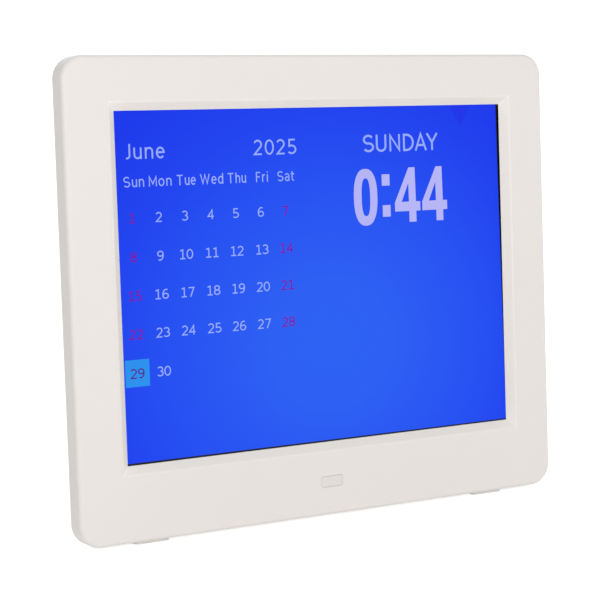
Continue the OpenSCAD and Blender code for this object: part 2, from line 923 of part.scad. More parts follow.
module rear_cover()
    color(shell_white)
        stood()
            difference() {
                union() {
                    difference() {
                        union() {
                            translate([0, frame_h / 2, 0])
                                plate(cover_z, cover_end)
                                    rounded_2d(
                                        frame_w - 2 * (rim_wall + cover_fit),
                                        frame_h - 2 * (rim_wall + cover_fit),
                                        corner_r - rim_wall - cover_fit
                                    );
                            hump_block(0, cover_end - sink, total_d);
                        }
                        hump_block(cover_wall, cover_z - past, hump_in);
                    }
                    for (spot = case_spots)
                        translate(spot)
                            plate(boss_end, cover_z + sink)
                                circle(d = case_head_d + 2 * cup_wall);
                    // Walls of the leg's pocket
                    translate([-pocket_half - cover_wall, hump_y + cover_wall / 2, 0])
                        plate(pocket_z - cover_wall, hump_in + sink)
                            square([
                                2 * (pocket_half + cover_wall),
                                pocket_top - hump_y + cover_wall / 2
                            ]);
                    for (spot = board_spots)
                        translate(spot)
                            plate(board_end, hump_in + sink)
                                circle(d = boss_d);
                    translate([-speaker_x, speaker_y, 0])
                        plate(hump_in - speaker_ring_h, hump_in + sink)
                            difference() {
                                circle(d = speaker_d + 2 * (speaker_fit + speaker_ring_w));
                                circle(d = speaker_d + 2 * speaker_fit);
                            }
                }
                for (spot = case_spots)
                    translate(spot) {
                        plate(boss_end - past, cover_end)
                            circle(d = case_screw_d + 2 * hole_fit);
                        plate(boss_end + cup_floor, cover_end + past)
                            circle(d = case_head_d + 2 * cup_fit);
                    }
                for (spot = board_spots)
                    translate(spot)
                        plate(board_end - past, board_end + board_pilot)
                            circle(d = case_screw_d + 2 * screw_fit);
                translate([-pocket_half, hump_y - past, pocket_z])
                    cube([2 * pocket_half, pocket_top - hump_y + past, total_d]);
                translate([0, hinge_y, hinge_z])
                    rotate([0, 90, 0])
                        cylinder(
                            d = pin_d + 2 * press_fit,
                            h = 2 * (pocket_half + cover_wall + past),
                            center = true
                        );
                for (side = [-1, 1])
                    translate([side * keyhole_x, keyhole_y, 0])
                        plate(hump_in - past, total_d + past)
                            keyhole_2d();
                for (x = button_spots)
                    translate([x, button_y, 0])
                        plate(hump_in - past, total_d + past)
                            button_2d(port_fit);
                translate([-speaker_x, speaker_y, 0])
                    plate(hump_in - past, total_d + past)
                        grille_2d();
                translate([speaker_x, speaker_y, 0])
                    plate(hump_in - past, total_d + past)
                        vents_2d();
                port_cut(card_y, card_w + 2 * card_side, card_h);
                port_cut(usb_y, usb_w, usb_h);
                port_cut(jack_y, jack_w, jack_h);
            }

// A socket's port in the housing's right-hand side
module port_cut(y, w, h)
    translate([hump_w / 2 - 2 * cover_wall, y - w / 2 - port_fit, board_end - port_fit])
        cube([3 * cover_wall, w + 2 * port_fit, h + 2 * port_fit]);

// ---- Leg ----

// Outline of the leg seen from behind, from its hinge down by the given length
module leg_outline(length)
    difference() {
        polygon([
            [-leg_w / 2, heel],
            [leg_w / 2, heel],
            [leg_w / 2, -length / 4],
            [leg_tip_w / 2, -length],
            [-leg_tip_w / 2, -length],
            [-leg_w / 2, -length / 4]
        ]);
        for (side = [0, 1])
            mirror([side, 0])
                corner_sliver([-leg_w / 2, heel], [leg_w / 2, heel], [leg_w / 2, -length], leg_heel_r);
    }

module leg_tongue()
    translate([0, 0, (leg_out - leg_in - tongue_t) / 2])
        linear_extrude(tongue_t)
            translate([-leg_tip_w / 2 + leg_side, -leg_l + foot_sole])
                square([leg_tip_w - 2 * leg_side, foot_l]);

module leg_cut_line()
    translate([-leg_w, -leg_l - leg_t, -leg_t])
        cube([2 * leg_w, leg_t + foot_l, 4 * leg_t]);

module stand_leg()
    color(shell_white)
        stood()
            swung() {
                hollow_top = -barrel_r - leg_side;
                hollow_end = -leg_l + foot_l + leg_side;
                hollow_l = (hollow_top - hollow_end - (leg_hollows - 1) * leg_rib) / leg_hollows;
                difference() {
                    union() {
                        difference() {
                            translate([0, 0, -leg_in])
                                linear_extrude(leg_t)
                                    leg_outline(leg_l + leg_t);
                            leg_cut_line();
                        }
                        leg_tongue();
                        rotate([0, 90, 0])
                            cylinder(r = barrel_r, h = leg_w, center = true);
                    }
                    rotate([0, 90, 0])
                        cylinder(d = pin_d + 2 * pin_fit, h = leg_w + 2 * past, center = true);
                    for (k = [0:leg_hollows - 1])
                        translate([
                            -leg_tip_w / 2 + leg_side,
                            hollow_top - (k + 1) * hollow_l - k * leg_rib,
                            -leg_in - past
                        ])
                            cube([leg_tip_w - 2 * leg_side, hollow_l, leg_hollow + past]);
                }
            }

module stand_foot()
    color(rubber_grey)
        above_table()
            stood()
                swung()
                    difference() {
                        intersection() {
                            translate([0, 0, -leg_in])
                                linear_extrude(leg_t)
                                    leg_outline(leg_l + leg_t);
                            leg_cut_line();
                        }
                        leg_tongue();
                    }

module hinge_pin()
    color(steel)
        stood()
            translate([0, hinge_y, hinge_z])
                rotate([0, 90, 0])
                    cylinder(d = pin_d, h = 2 * (pocket_half + cover_wall), center = true);

module hinge_washers()
    color(tin)
        stood()
            for (side = [-1, 1])
                translate([side * (leg_w / 2 + leg_fit / 2), hinge_y, hinge_z])
                    rotate([0, 90, 0])
                        difference() {
                            cylinder(r = barrel_r - washer_in, h = washer_t, center = true);
                            cylinder(d = pin_d + 2 * pin_fit, h = washer_t + past, center = true);
                        }

// ---- Buttons ----

module button_2d(by = 0) {
    h = button_h + 2 * by;
    rounded_2d(button_w + 2 * by, h, h / 2 - 0.1);
}

module button(k)
    color(button_white)
        stood()
            translate([button_spots[k], button_y, 0]) {
                plate(button_in, hump_in - button_back)
                    box_2d(button_w + 2 * button_flange, button_h + 2 * button_flange);
                plate(button_in, total_d + button_out)
                    button_2d();
                plate(plunger_end, button_in)
                    circle(d = plunger_d + 2 * button_stub_w);
            }

module plunger(k)
    color("#3a3b3e")
        stood()
            translate([button_spots[k], button_y, 0])
                plate(board_end + key_seat, plunger_end)
                    circle(d = plunger_d);

module key_switches()
    color(chip_black)
        stood()
            for (x = button_spots)
                translate([x, button_y, 0])
                    difference() {
                        plate(board_end, board_end + key_h)
                            box_2d(key_side, key_side);
                        plate(board_end + key_seat - key_play - button_travel, board_end + key_h + past)
                            circle(d = plunger_d + 2 * plunger_fit);
                    }

// ---- Main board ----

module main_board()
    color(board_green)
        stood()
            difference() {
                translate([board_x, board_y + board_h / 2, 0])
                    plate(board_z, board_end)
                        box_2d(board_w, board_h);
                for (spot = board_spots)
                    translate(spot)
                        plate(board_z - past, board_end + past)
                            circle(d = case_screw_d + 2 * hole_fit);
            }

module board_screws()
    color(steel)
        stood()
            for (spot = board_spots)
                translate([spot.x, spot.y, board_z])
                    mirror([0, 0, 1])
                        screw(case_head_d, case_head_h, case_screw_d, board_t + board_pilot - past);

// A flat component on the board's rear side, placed from the board's lower left corner
module on_board(x, y, w, h, t)
    translate([board_left + x, board_y + y, 0])
        plate(board_end, board_end + t)
            box_2d(w, h);

module processor()
    color(chip_black)
        stood() {
            on_board(chip_x, chip_y, chip_side, chip_side, chip_t);
            translate([board_left + chip_x, board_y + chip_y, 0])
                for (turn = [0, 90, 180, 270], k = [0:leads - 1])
                    rotate(turn)
                        translate([(chip_side + lead_l) / 2, (k - (leads - 1) / 2) * lead_pitch, 0])
                            plate(board_end, board_end + lead_t)
                                box_2d(lead_l, lead_w);
        }

module memory_chip()
    color(chip_black)
        stood()
            on_board(memory_x, chip_y, memory_w, memory_h, memory_t);

module crystal()
    color(tin)
        stood()
            translate([board_left + chip_x, board_y + crystal_y, 0])
                plate(board_end, board_end + crystal_t)
                    rounded_2d(crystal_w, crystal_h, crystal_r);

module capacitors()
    color("#9a9da2")
        stood()
            for (k = [0, 1])
                translate([capacitor_x, board_y + capacitor_y + k * capacitor_pitch, 0])
                    plate(board_end, board_end + capacitor_h)
                        circle(d = capacitor_d);

module inductor()
    color("#4a4c50")
        stood()
            on_board(inductor_x - board_left, capacitor_y, inductor_side, inductor_side, inductor_h);

module wire_sockets()
    color("#ece6d6")
        stood()
            for (k = [0, 1])
                on_board(wire_socket_x + k * wire_socket_pitch, wire_socket_y,
                         wire_socket_w, wire_socket_h, wire_socket_t);

module cell_holder()
    color(chip_black)
        stood()
            translate([board_left + cell_x, board_y + cell_y, 0])
                difference() {
                    plate(board_end, board_end + cell_t + cell_rim)
                        circle(d = cell_d + 2 * (cell_play + cell_wall));
                    plate(board_end + cell_floor, board_end + cell_t + cell_rim + past)
                        circle(d = cell_d + 2 * cell_play);
                }

module coin_cell()
    color(steel)
        stood()
            translate([board_left + cell_x, board_y + cell_y, board_end + cell_floor]) {
                plate(0, cell_t - cell_step)
                    circle(d = cell_d);
                plate(cell_t - cell_step, cell_t)
                    circle(d = cell_d - 2 * cell_step_w);
            }

// ---- Sockets, with their mouths in the housing's right-hand side ----

module dc_jack()
    color(chip_black)
        stood() {
            difference() {
                translate([socket_end - jack_l, jack_y - jack_w / 2, board_end])
                    cube([jack_l, jack_w, jack_h]);
                translate([socket_end - jack_bore, jack_y, jack_axis])
                    rotate([0, 90, 0])
                        cylinder(d = jack_d, h = jack_bore + past);
            }
            translate([socket_end - jack_bore - sink, jack_y, jack_axis])
                rotate([0, 90, 0])
                    cylinder(d = jack_pin_d, h = jack_bore + sink - jack_pin_in);
        }

module usb_socket()
    color(tin)
        stood() {
            room = usb_w - 2 * usb_sheet;
            tongue_w = room - 2 * tongue_end;
            difference() {
                translate([socket_end - usb_l, usb_y - usb_w / 2, board_end])
                    cube([usb_l, usb_w, usb_h]);
                translate([socket_end - usb_l + usb_back, usb_y - room / 2, board_end + usb_floor])
                    cube([usb_l, room, usb_h - 2 * usb_floor]);
            }
            translate([socket_end - usb_l + usb_back - sink, usb_y - tongue_w / 2,
                       board_end + tongue_low])
                cube([usb_l - usb_back + sink - tongue_in, tongue_w, tongue_h]);
        }

module card_socket()
    color(tin)
        stood() {
            width = card_w + 2 * card_side;
            difference() {
                translate([socket_end - card_l, card_y - width / 2, board_end])
                    cube([card_l, width, card_h]);
                translate([socket_end - card_l + card_back, card_y - card_w / 2,
                           board_end + card_floor])
                    cube([card_l, card_w, card_room]);
            }
        }

// ---- Speaker ----

module speaker()
    color("#2b2c2f")
        stood()
            translate([-speaker_x, speaker_y, hump_in - seal_t]) {
                r = speaker_d / 2;
                rotate_extrude()
                    polygon([
                        [0, -speaker_h],
                        [r * 0.6, -speaker_h],
                        [r * 0.6, magnet_h - speaker_h],
                        [r - speaker_rim_w, -speaker_rim_t],
                        [r, -speaker_rim_t],
                        [r, 0],
                        [r - speaker_rim_w, 0],
                        [r * 0.35, -cone_depth],
                        [0, -cap_depth]
                    ]);
            }

module speaker_seal()
    color("#46474a")
        stood()
            translate([-speaker_x, speaker_y, 0])
                plate(hump_in - seal_t, hump_in)
                    difference() {
                        circle(d = speaker_d);
                        circle(d = speaker_d - 2 * seal_w);
                    }

module speaker_wires()
    color("#b3262a")
        stood()
            for (k = [0, 1]) {
                x0 = -speaker_x + speaker_d / 2 - speaker_wire_in + k * speaker_wire_gap;
                x1 = board_left + wire_socket_x + (k - 0.5) * speaker_wire_gap;
                wire([
                    [x0, speaker_y + 1, hump_in - 2.5],
                    [x0, speaker_y + 1, hump_in - 12],
                    [x1, board_y - 10, board_end + wire_end_z],
                    [x1, board_y + wire_end_y, board_end + wire_end_z]
                ], speaker_wire_r);
            }

// ---- Remote receiver ----

module ir_receiver()
    color("#17181b")
        stood()
            translate([0, ir_y, 0]) {
                plate(face_wall + ir_body_in, ir_board_z)
                    box_2d(ir_body_w, ir_body_h);
                plate(face_wall + ir_lens_in, face_wall + ir_body_in)
                    circle(d = ir_lens_d);
            }

module ir_board()
    color(board_green)
        stood()
            difference() {
                translate([0, ir_y, 0])
                    plate(ir_board_z, ir_board_z + ir_board_t)
                        box_2d(2 * (ir_post_x + ir_board_side), ir_board_h);
                for (side = [-1, 1])
                    translate([side * ir_post_x, ir_y, 0])
                        plate(ir_board_z - past, ir_board_z + ir_board_t + past)
                            circle(d = small_screw_d + 2 * hole_fit);
            }

module ir_screws()
    color(steel)
        stood()
            for (side = [-1, 1])
                translate([side * ir_post_x, ir_y, ir_board_z + ir_board_t])
                    screw(small_head_d, small_head_h, small_screw_d, 2 * ir_board_t + pilot_in);

module ir_wires()
    color("#2d2e31")
        stood()
            for (k = [-1:1]) {
                x0 = k * ir_wire_gap;
                x1 = board_left + wire_socket_x + wire_socket_pitch + k * ir_wire_gap;
                wire([
                    [x0, ir_y + 2, ir_board_z + ir_board_t + 0.45],
                    [x0, ir_y + 14, ir_board_z + ir_board_t + 2.25],
                    [x1, board_y - 14, board_end + 2.4],
                    [x1, board_y + wire_end_y, board_end + wire_end_z]
                ], ir_wire_r);
            }

front_bezel();
rear_cover();
front_feet();
ir_window();
case_screws();
lcd_gasket();
lcd_glass();
light_guide();
led_bar();
lcd_tray();
lcd_clips();
clip_screws();
lcd_flex();
flex_socket();
main_board();
board_screws();
processor();
memory_chip();
crystal();
capacitors();
inductor();
wire_sockets();
key_switches();
coin_cell();
cell_holder();
dc_jack();
usb_socket();
card_socket();
speaker();
speaker_seal();
speaker_wires();
ir_receiver();
ir_board();
ir_screws();
ir_wires();
stand_leg();
stand_foot();
hinge_pin();
hinge_washers();
button(0);  // power_button
button(1);  // menu_button
button(2);  // left_button
button(3);  // up_button
button(4);  // down_button
button(5);  // right_button
button(6);  // ok_button
plunger(0);  // power_plunger
plunger(1);  // menu_plunger
plunger(2);  // left_plunger
plunger(3);  // up_plunger
plunger(4);  // down_plunger
plunger(5);  // right_plunger
plunger(6);  // ok_plunger
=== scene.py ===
import math
import bmesh
import bpy
from mathutils import Matrix, Vector


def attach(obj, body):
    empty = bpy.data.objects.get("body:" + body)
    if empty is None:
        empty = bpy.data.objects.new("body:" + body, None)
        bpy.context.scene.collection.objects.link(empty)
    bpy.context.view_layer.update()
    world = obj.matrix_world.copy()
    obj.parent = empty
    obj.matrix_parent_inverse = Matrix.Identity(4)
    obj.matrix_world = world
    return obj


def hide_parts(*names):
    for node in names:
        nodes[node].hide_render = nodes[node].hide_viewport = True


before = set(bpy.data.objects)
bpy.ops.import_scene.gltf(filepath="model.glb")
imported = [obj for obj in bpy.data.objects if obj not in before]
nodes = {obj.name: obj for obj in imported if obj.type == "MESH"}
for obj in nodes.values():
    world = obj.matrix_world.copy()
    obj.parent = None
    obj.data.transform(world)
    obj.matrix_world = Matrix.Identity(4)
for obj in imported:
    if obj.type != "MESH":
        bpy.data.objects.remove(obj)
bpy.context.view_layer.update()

print("frame loaded,", len(nodes), "nodes")

# The clock leans back on its leg. Places are in millimetres: across the face, up it and out of it.
stand = {
    "lean": 10.0,        # degrees
    "shiftY": -29.6381,
    "shiftZ": 1.7892,
    "hingeY": 7.806,     # the leg's hinge in the open pose
    "hingeZ": 88.606,
    "legOpen": 12.0,     # degrees behind the vertical
}
lean = math.radians(stand["lean"])
splay = math.radians(stand["legOpen"])


def planeOf(across, up, out, at):
    turn = Matrix((across, up, out)).transposed().to_4x4()
    return Matrix.Scale(0.001, 4) @ Matrix.Translation(at) @ turn


upFace = Vector((0, math.sin(lean), math.cos(lean)))
outBack = Vector((0, math.cos(lean), -math.sin(lean)))
corner = Vector((0, stand["shiftY"], stand["shiftZ"]))
front = planeOf(Vector((1, 0, 0)), upFace, -outBack, corner)
back = planeOf(Vector((-1, 0, 0)), upFace, outBack, corner)
right = planeOf(outBack, upFace, Vector((1, 0, 0)), corner)    # the ports' side, out of it along X
legBack = planeOf(Vector((-1, 0, 0)), Vector((0, -math.sin(splay), math.cos(splay))),
                  Vector((0, math.cos(splay), math.sin(splay))),
                  Vector((0, stand["hingeY"], stand["hingeZ"])))


# sRGB steps of 0 to 255 as the linear colour that a shader takes
def tint(red, green, blue):
    steps = [c / 255 for c in (red, green, blue)]
    return tuple(c / 12.92 if c < 0.04045 else ((c + 0.055) / 1.055) ** 2.4 for c in steps) + (1.0,)


def startMaterial(name, colour, rough, metal=0.0, gloss=0.5):
    mat = bpy.data.materials.new(name)
    mat.use_nodes = True
    shader = mat.node_tree.nodes["Principled BSDF"]
    shader.inputs["Base Color"].default_value = colour
    shader.inputs["Roughness"].default_value = rough
    shader.inputs["Metallic"].default_value = metal
    shader.inputs["Specular IOR Level"].default_value = gloss
    return mat, mat.node_tree, shader


# noise of a given size in millimetres on Object coordinates
def grain(tree, size, detail=2.0, stretch=(1, 1, 1)):
    coords = tree.nodes.new("ShaderNodeTexCoord")
    place = tree.nodes.new("ShaderNodeMapping")
    place.inputs["Scale"].default_value = stretch
    noise = tree.nodes.new("ShaderNodeTexNoise")
    noise.inputs["Scale"].default_value = 1000 / size
    noise.inputs["Detail"].default_value = detail
    tree.links.new(coords.outputs["Object"], place.inputs["Vector"])
    tree.links.new(place.outputs["Vector"], noise.inputs["Vector"])
    return noise.outputs["Fac"]


def mottle(tree, shader, pattern, dark, light, low=0.35, high=0.65):
    ramp = tree.nodes.new("ShaderNodeValToRGB")
    ends = ramp.color_ramp.elements
    ends[0].position, ends[0].color = low, dark
    ends[1].position, ends[1].color = high, light
    tree.links.new(pattern, ramp.inputs["Fac"])
    tree.links.new(ramp.outputs["Color"], shader.inputs["Base Color"])


def roughen(tree, shader, pattern, smooth, coarse):
    span = tree.nodes.new("ShaderNodeMapRange")
    span.inputs["To Min"].default_value = smooth
    span.inputs["To Max"].default_value = coarse
    tree.links.new(pattern, span.inputs["Value"])
    tree.links.new(span.outputs["Result"], shader.inputs["Roughness"])


def emboss(tree, shader, pattern, depth):
    bump = tree.nodes.new("ShaderNodeBump")
    bump.inputs["Distance"].default_value = depth / 1000
    tree.links.new(pattern, bump.inputs["Height"])
    tree.links.new(bump.outputs["Normal"], shader.inputs["Normal"])


def dimmed(colour, share):
    return tuple(c * share for c in colour[:3]) + (1.0,)


# moulded plastic: a faint cloudiness, a spark-eroded grain and a roughness that wanders a little
def mouldedPlastic(name, look):
    colour = tint(*look["colour"])
    mat, tree, shader = startMaterial(name, colour, look["rough"], gloss=look.get("gloss", 0.5))
    mottle(tree, shader, grain(tree, look["cloud"], 3), dimmed(colour, 1 - look["shade"]), colour)
    roughen(tree, shader, grain(tree, look["cloud"] / 5), look["rough"] - look["wander"],
            look["rough"] + look["wander"])
    emboss(tree, shader, grain(tree, look["grain"], 3), look["depth"])
    return mat


def sheetMetal(name, look):
    colour = tint(*look["colour"])
    mat, tree, shader = startMaterial(name, colour, look["rough"], metal=1.0)
    streaks = grain(tree, look["streak"], 4, look["along"])
    mottle(tree, shader, streaks, dimmed(colour, 1 - look["shade"]), colour)
    roughen(tree, shader, streaks, look["rough"] - look["wander"], look["rough"] + look["wander"])
    emboss(tree, shader, streaks, look["depth"])
    return mat


# The window's bevel is given a lighter colour than the grained face: painted light, standing in for light
# the lamps don't bring to the bevels.
def polishedBevel(mat, look):
    tree, shader = mat.node_tree, mat.node_tree.nodes["Principled BSDF"]
    coords = tree.nodes.new("ShaderNodeTexCoord")
    inside = []
    for direction, middle, half in (((1, 0, 0), look["across"], look["wide"] / 2),
                                    (tuple(upFace), look["up"] + corner.dot(upFace), look["high"] / 2)):
        along = tree.nodes.new("ShaderNodeVectorMath")
        along.operation = "DOT_PRODUCT"
        along.inputs[1].default_value = direction
        near = tree.nodes.new("ShaderNodeMath")
        near.operation = "COMPARE"
        near.inputs[1].default_value = middle / 1000
        near.inputs[2].default_value = half / 1000
        tree.links.new(coords.outputs["Object"], along.inputs[0])
        tree.links.new(along.outputs["Value"], near.inputs[0])
        inside.append(near.outputs["Value"])
    both = tree.nodes.new("ShaderNodeMath")
    both.operation = "MULTIPLY"
    for value, socket in zip(inside, both.inputs):
        tree.links.new(value, socket)
    # painted light: inside the window's bounds the bevel's colour is swapped for a lighter one
    paintedLight = tree.nodes.new("ShaderNodeMix")
    paintedLight.data_type = "RGBA"
    paintedLight.inputs["B"].default_value = tint(*look["colour"])
    base = shader.inputs["Base Color"]
    tree.links.new(base.links[0].from_socket, paintedLight.inputs["A"])
    tree.links.new(both.outputs["Value"], paintedLight.inputs["Factor"])
    tree.links.new(paintedLight.outputs["Result"], base)


frontShell = mouldedPlastic("frontShell", {
    "colour": (238, 233, 229), "shade": 0.012, "cloud": 55, "rough": 0.46, "wander": 0.04,
    "grain": 0.5, "depth": 0.006,
})
# painted light on the window's bevels: a lighter colour within the window's bounds
polishedBevel(frontShell, {
    "across": 0.7, "up": 87.3, "wide": 168.8, "high": 128.2, "colour": (248, 243, 239),
})
coverShell = mouldedPlastic("coverShell", {
    "colour": (236, 231, 227), "shade": 0.02, "cloud": 40, "rough": 0.58, "wander": 0.06,
    "grain": 0.7, "depth": 0.03,
})
legShell = mouldedPlastic("legShell", {
    "colour": (235, 230, 226), "shade": 0.02, "cloud": 30, "rough": 0.52, "wander": 0.05,
    "grain": 0.6, "depth": 0.02,
})
keyPlastic = mouldedPlastic("keyPlastic", {
    "colour": (228, 223, 219), "shade": 0.02, "cloud": 8, "rough": 0.38, "wander": 0.04,
    "grain": 0.3, "depth": 0.004,
})
markPaint = mouldedPlastic("markPaint", {
    "colour": (120, 118, 117), "shade": 0.06, "cloud": 3, "rough": 0.5, "wander": 0.05,
    "grain": 0.2, "depth": 0.004,
})
receiverPlastic = mouldedPlastic("receiverPlastic", {
    "colour": (234, 228, 227), "shade": 0.02, "cloud": 5, "rough": 0.28, "wander": 0.03,
    "grain": 0.8, "depth": 0.002,
})
paleRubber = mouldedPlastic("paleRubber", {
    "colour": (234, 231, 228), "shade": 0.05, "cloud": 4, "rough": 0.8, "wander": 0.06,
    "grain": 0.25, "depth": 0.03, "gloss": 0.3,
})
blackFoam = mouldedPlastic("blackFoam", {
    "colour": (38, 38, 40), "shade": 0.5, "cloud": 0.6, "rough": 0.95, "wander": 0.04,
    "grain": 0.5, "depth": 0.12, "gloss": 0.2,
})
blackPlastic = mouldedPlastic("blackPlastic", {
    "colour": (36, 36, 38), "shade": 0.15, "cloud": 6, "rough": 0.5, "wander": 0.06,
    "grain": 0.4, "depth": 0.01,
})
creamPlastic = mouldedPlastic("creamPlastic", {
    "colour": (232, 227, 214), "shade": 0.03, "cloud": 5, "rough": 0.45, "wander": 0.05,
    "grain": 0.4, "depth": 0.006,
})
clearGuide = mouldedPlastic("clearGuide", {
    "colour": (238, 241, 243), "shade": 0.02, "cloud": 30, "rough": 0.2, "wander": 0.03,
    "grain": 1.2, "depth": 0.01,
})
amberFilm = mouldedPlastic("amberFilm", {
    "colour": (204, 150, 78), "shade": 0.12, "cloud": 4, "rough": 0.3, "wander": 0.05,
    "grain": 1.5, "depth": 0.01,
})
redSleeve = mouldedPlastic("redSleeve", {
    "colour": (150, 34, 34), "shade": 0.1, "cloud": 4, "rough": 0.42, "wander": 0.05,
    "grain": 0.8, "depth": 0.006,
})
zincSteel = sheetMetal("zincSteel", {
    "colour": (205, 206, 209), "rough": 0.34, "wander": 0.08, "shade": 0.12,
    "streak": 1.5, "along": (1, 1, 1), "depth": 0.004,
})
tinPlate = sheetMetal("tinPlate", {
    "colour": (190, 191, 193), "rough": 0.38, "wander": 0.1, "shade": 0.1,
    "streak": 2.0, "along": (0.15, 1, 1), "depth": 0.003,
})
goldFlash = sheetMetal("goldFlash", {
    "colour": (226, 186, 104), "rough": 0.24, "wander": 0.06, "shade": 0.08,
    "streak": 0.6, "along": (0.2, 1, 1), "depth": 0.001,
})


# green solder mask: copper runs show through as lighter lines in a maze of right angles
def solderMask():
    look = {"mask": tint(20, 88, 46), "copper": tint(38, 118, 66), "rough": 0.32, "run": 2.2,
            "line": 0.12, "depth": 0.02}
    mat, tree, shader = startMaterial("solderMask", look["mask"], look["rough"])
    coords = tree.nodes.new("ShaderNodeTexCoord")
    runs = tree.nodes.new("ShaderNodeTexVoronoi")
    runs.distance = "CHEBYCHEV"
    runs.feature = "F2"
    runs.inputs["Scale"].default_value = 1000 / look["run"]
    tree.links.new(coords.outputs["Object"], runs.inputs["Vector"])
    mottle(tree, shader, runs.outputs["Distance"], look["mask"], look["copper"], 0.5, 0.5 + look["line"])
    emboss(tree, shader, runs.outputs["Distance"], look["depth"])
    return mat


# the lamp strip is white with a yellow lamp at each step
def lampStrip():
    look = {"strip": tint(238, 236, 228), "lamp": tint(236, 206, 96), "step": 6.0, "turns": 3.1416}
    mat, tree, shader = startMaterial("lampStrip", look["strip"], 0.3)
    coords = tree.nodes.new("ShaderNodeTexCoord")
    waves = tree.nodes.new("ShaderNodeTexWave")
    waves.inputs["Scale"].default_value = 1000 / look["step"] / look["turns"]
    tree.links.new(coords.outputs["Object"], waves.inputs["Vector"])
    mottle(tree, shader, waves.outputs["Fac"], look["strip"], look["lamp"], 0.6, 0.75)
    emboss(tree, shader, grain(tree, 0.5), 0.01)
    return mat


# the display's own face: near-black glass with a fine matt coat
def polariser():
    look = {"glass": tint(9, 9, 12), "rough": 0.4, "wander": 0.04, "cloud": 12, "grain": 0.25,
            "depth": 0.002}
    mat, tree, shader = startMaterial("polariser", look["glass"], look["rough"], gloss=0.25)
    roughen(tree, shader, grain(tree, look["cloud"]), look["rough"] - look["wander"],
            look["rough"] + look["wander"])
    emboss(tree, shader, grain(tree, look["grain"]), look["depth"])
    return mat


finishes = {
    "front_bezel": frontShell, "rear_cover": coverShell, "stand_leg": legShell,
    "ir_window": receiverPlastic, "lcd_glass": polariser(),
}
slotFinishes = {
    "shell": coverShell, "button": keyPlastic, "rubber": paleRubber, "receiver_window": receiverPlastic,
    "steel": zincSteel, "foam": blackFoam, "display": finishes["lcd_glass"], "light_guide": clearGuide,
    "lamp_strip": lampStrip(), "tin": tinPlate, "flex": amberFilm, "pale_plastic": creamPlastic,
    "board": solderMask(), "dark_plastic": blackPlastic, "wire": redSleeve,
}
for name, node in nodes.items():
    for slot in node.material_slots:
        slot.material = finishes.get(name) or slotFinishes[slot.name.split(".")[0]]
print("finishes given to", len(nodes), "nodes")


def meshToPiece(name, mesh, place, body, mat, smooth=False, merge=True):
    mesh.transform(place)
    if merge:
        tidy = bmesh.new()
        tidy.from_mesh(mesh)
        bmesh.ops.remove_doubles(tidy, verts=tidy.verts, dist=1e-7)
        bmesh.ops.recalc_face_normals(tidy, faces=tidy.faces)
        tidy.to_mesh(mesh)
        tidy.free()
    mesh.materials.clear()
    mesh.materials.append(mat)
    for face in mesh.polygons:
        face.material_index = 0
        face.use_smooth = smooth
    piece = bpy.data.objects.new(name, mesh)
    bpy.context.scene.collection.objects.link(piece)
    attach(piece, body)
    return piece


def joined(meshes):
    whole = bmesh.new()
    for mesh in meshes:
        whole.from_mesh(mesh)
    made = bpy.data.meshes.new("joined")
    whole.to_mesh(made)
    whole.free()
    return made


def asMesh(curve):
    holder = bpy.data.objects.new("shape", curve)
    bpy.context.scene.collection.objects.link(holder)
    bpy.context.view_layer.update()
    made = bpy.data.meshes.new_from_object(holder.evaluated_get(bpy.context.evaluated_depsgraph_get()))
    bpy.data.objects.remove(holder)
    return made


# a flat shape from closed outlines, holes among them, between two heights
def flatShape(outlines, low, high):
    curve = bpy.data.curves.new("outline", "CURVE")
    curve.dimensions = "2D"
    curve.fill_mode = "BOTH"
    curve.extrude = (high - low) / 2
    for outline in outlines:
        line = curve.splines.new("POLY")
        line.points.add(len(outline) - 1)
        for point, (x, y) in zip(line.points, outline):
            point.co = (x, y, 0, 1)
        line.use_cyclic_u = True
    made = asMesh(curve)
    made.transform(Matrix.Translation((0, 0, (low + high) / 2)))
    return made


def roundedBox(left, low, wide, high, radius, steps=6):
    spots = []
    near, far = left + radius, left + wide - radius
    foot, top = low + radius, low + high - radius
    for cx, cy, first in ((far, foot, -90), (far, top, 0), (near, top, 90), (near, foot, 180)):
        for i in range(steps + 1):
            a = math.radians(first + 90 * i / steps)
            spots.append((cx + radius * math.cos(a), cy + radius * math.sin(a)))
    return spots


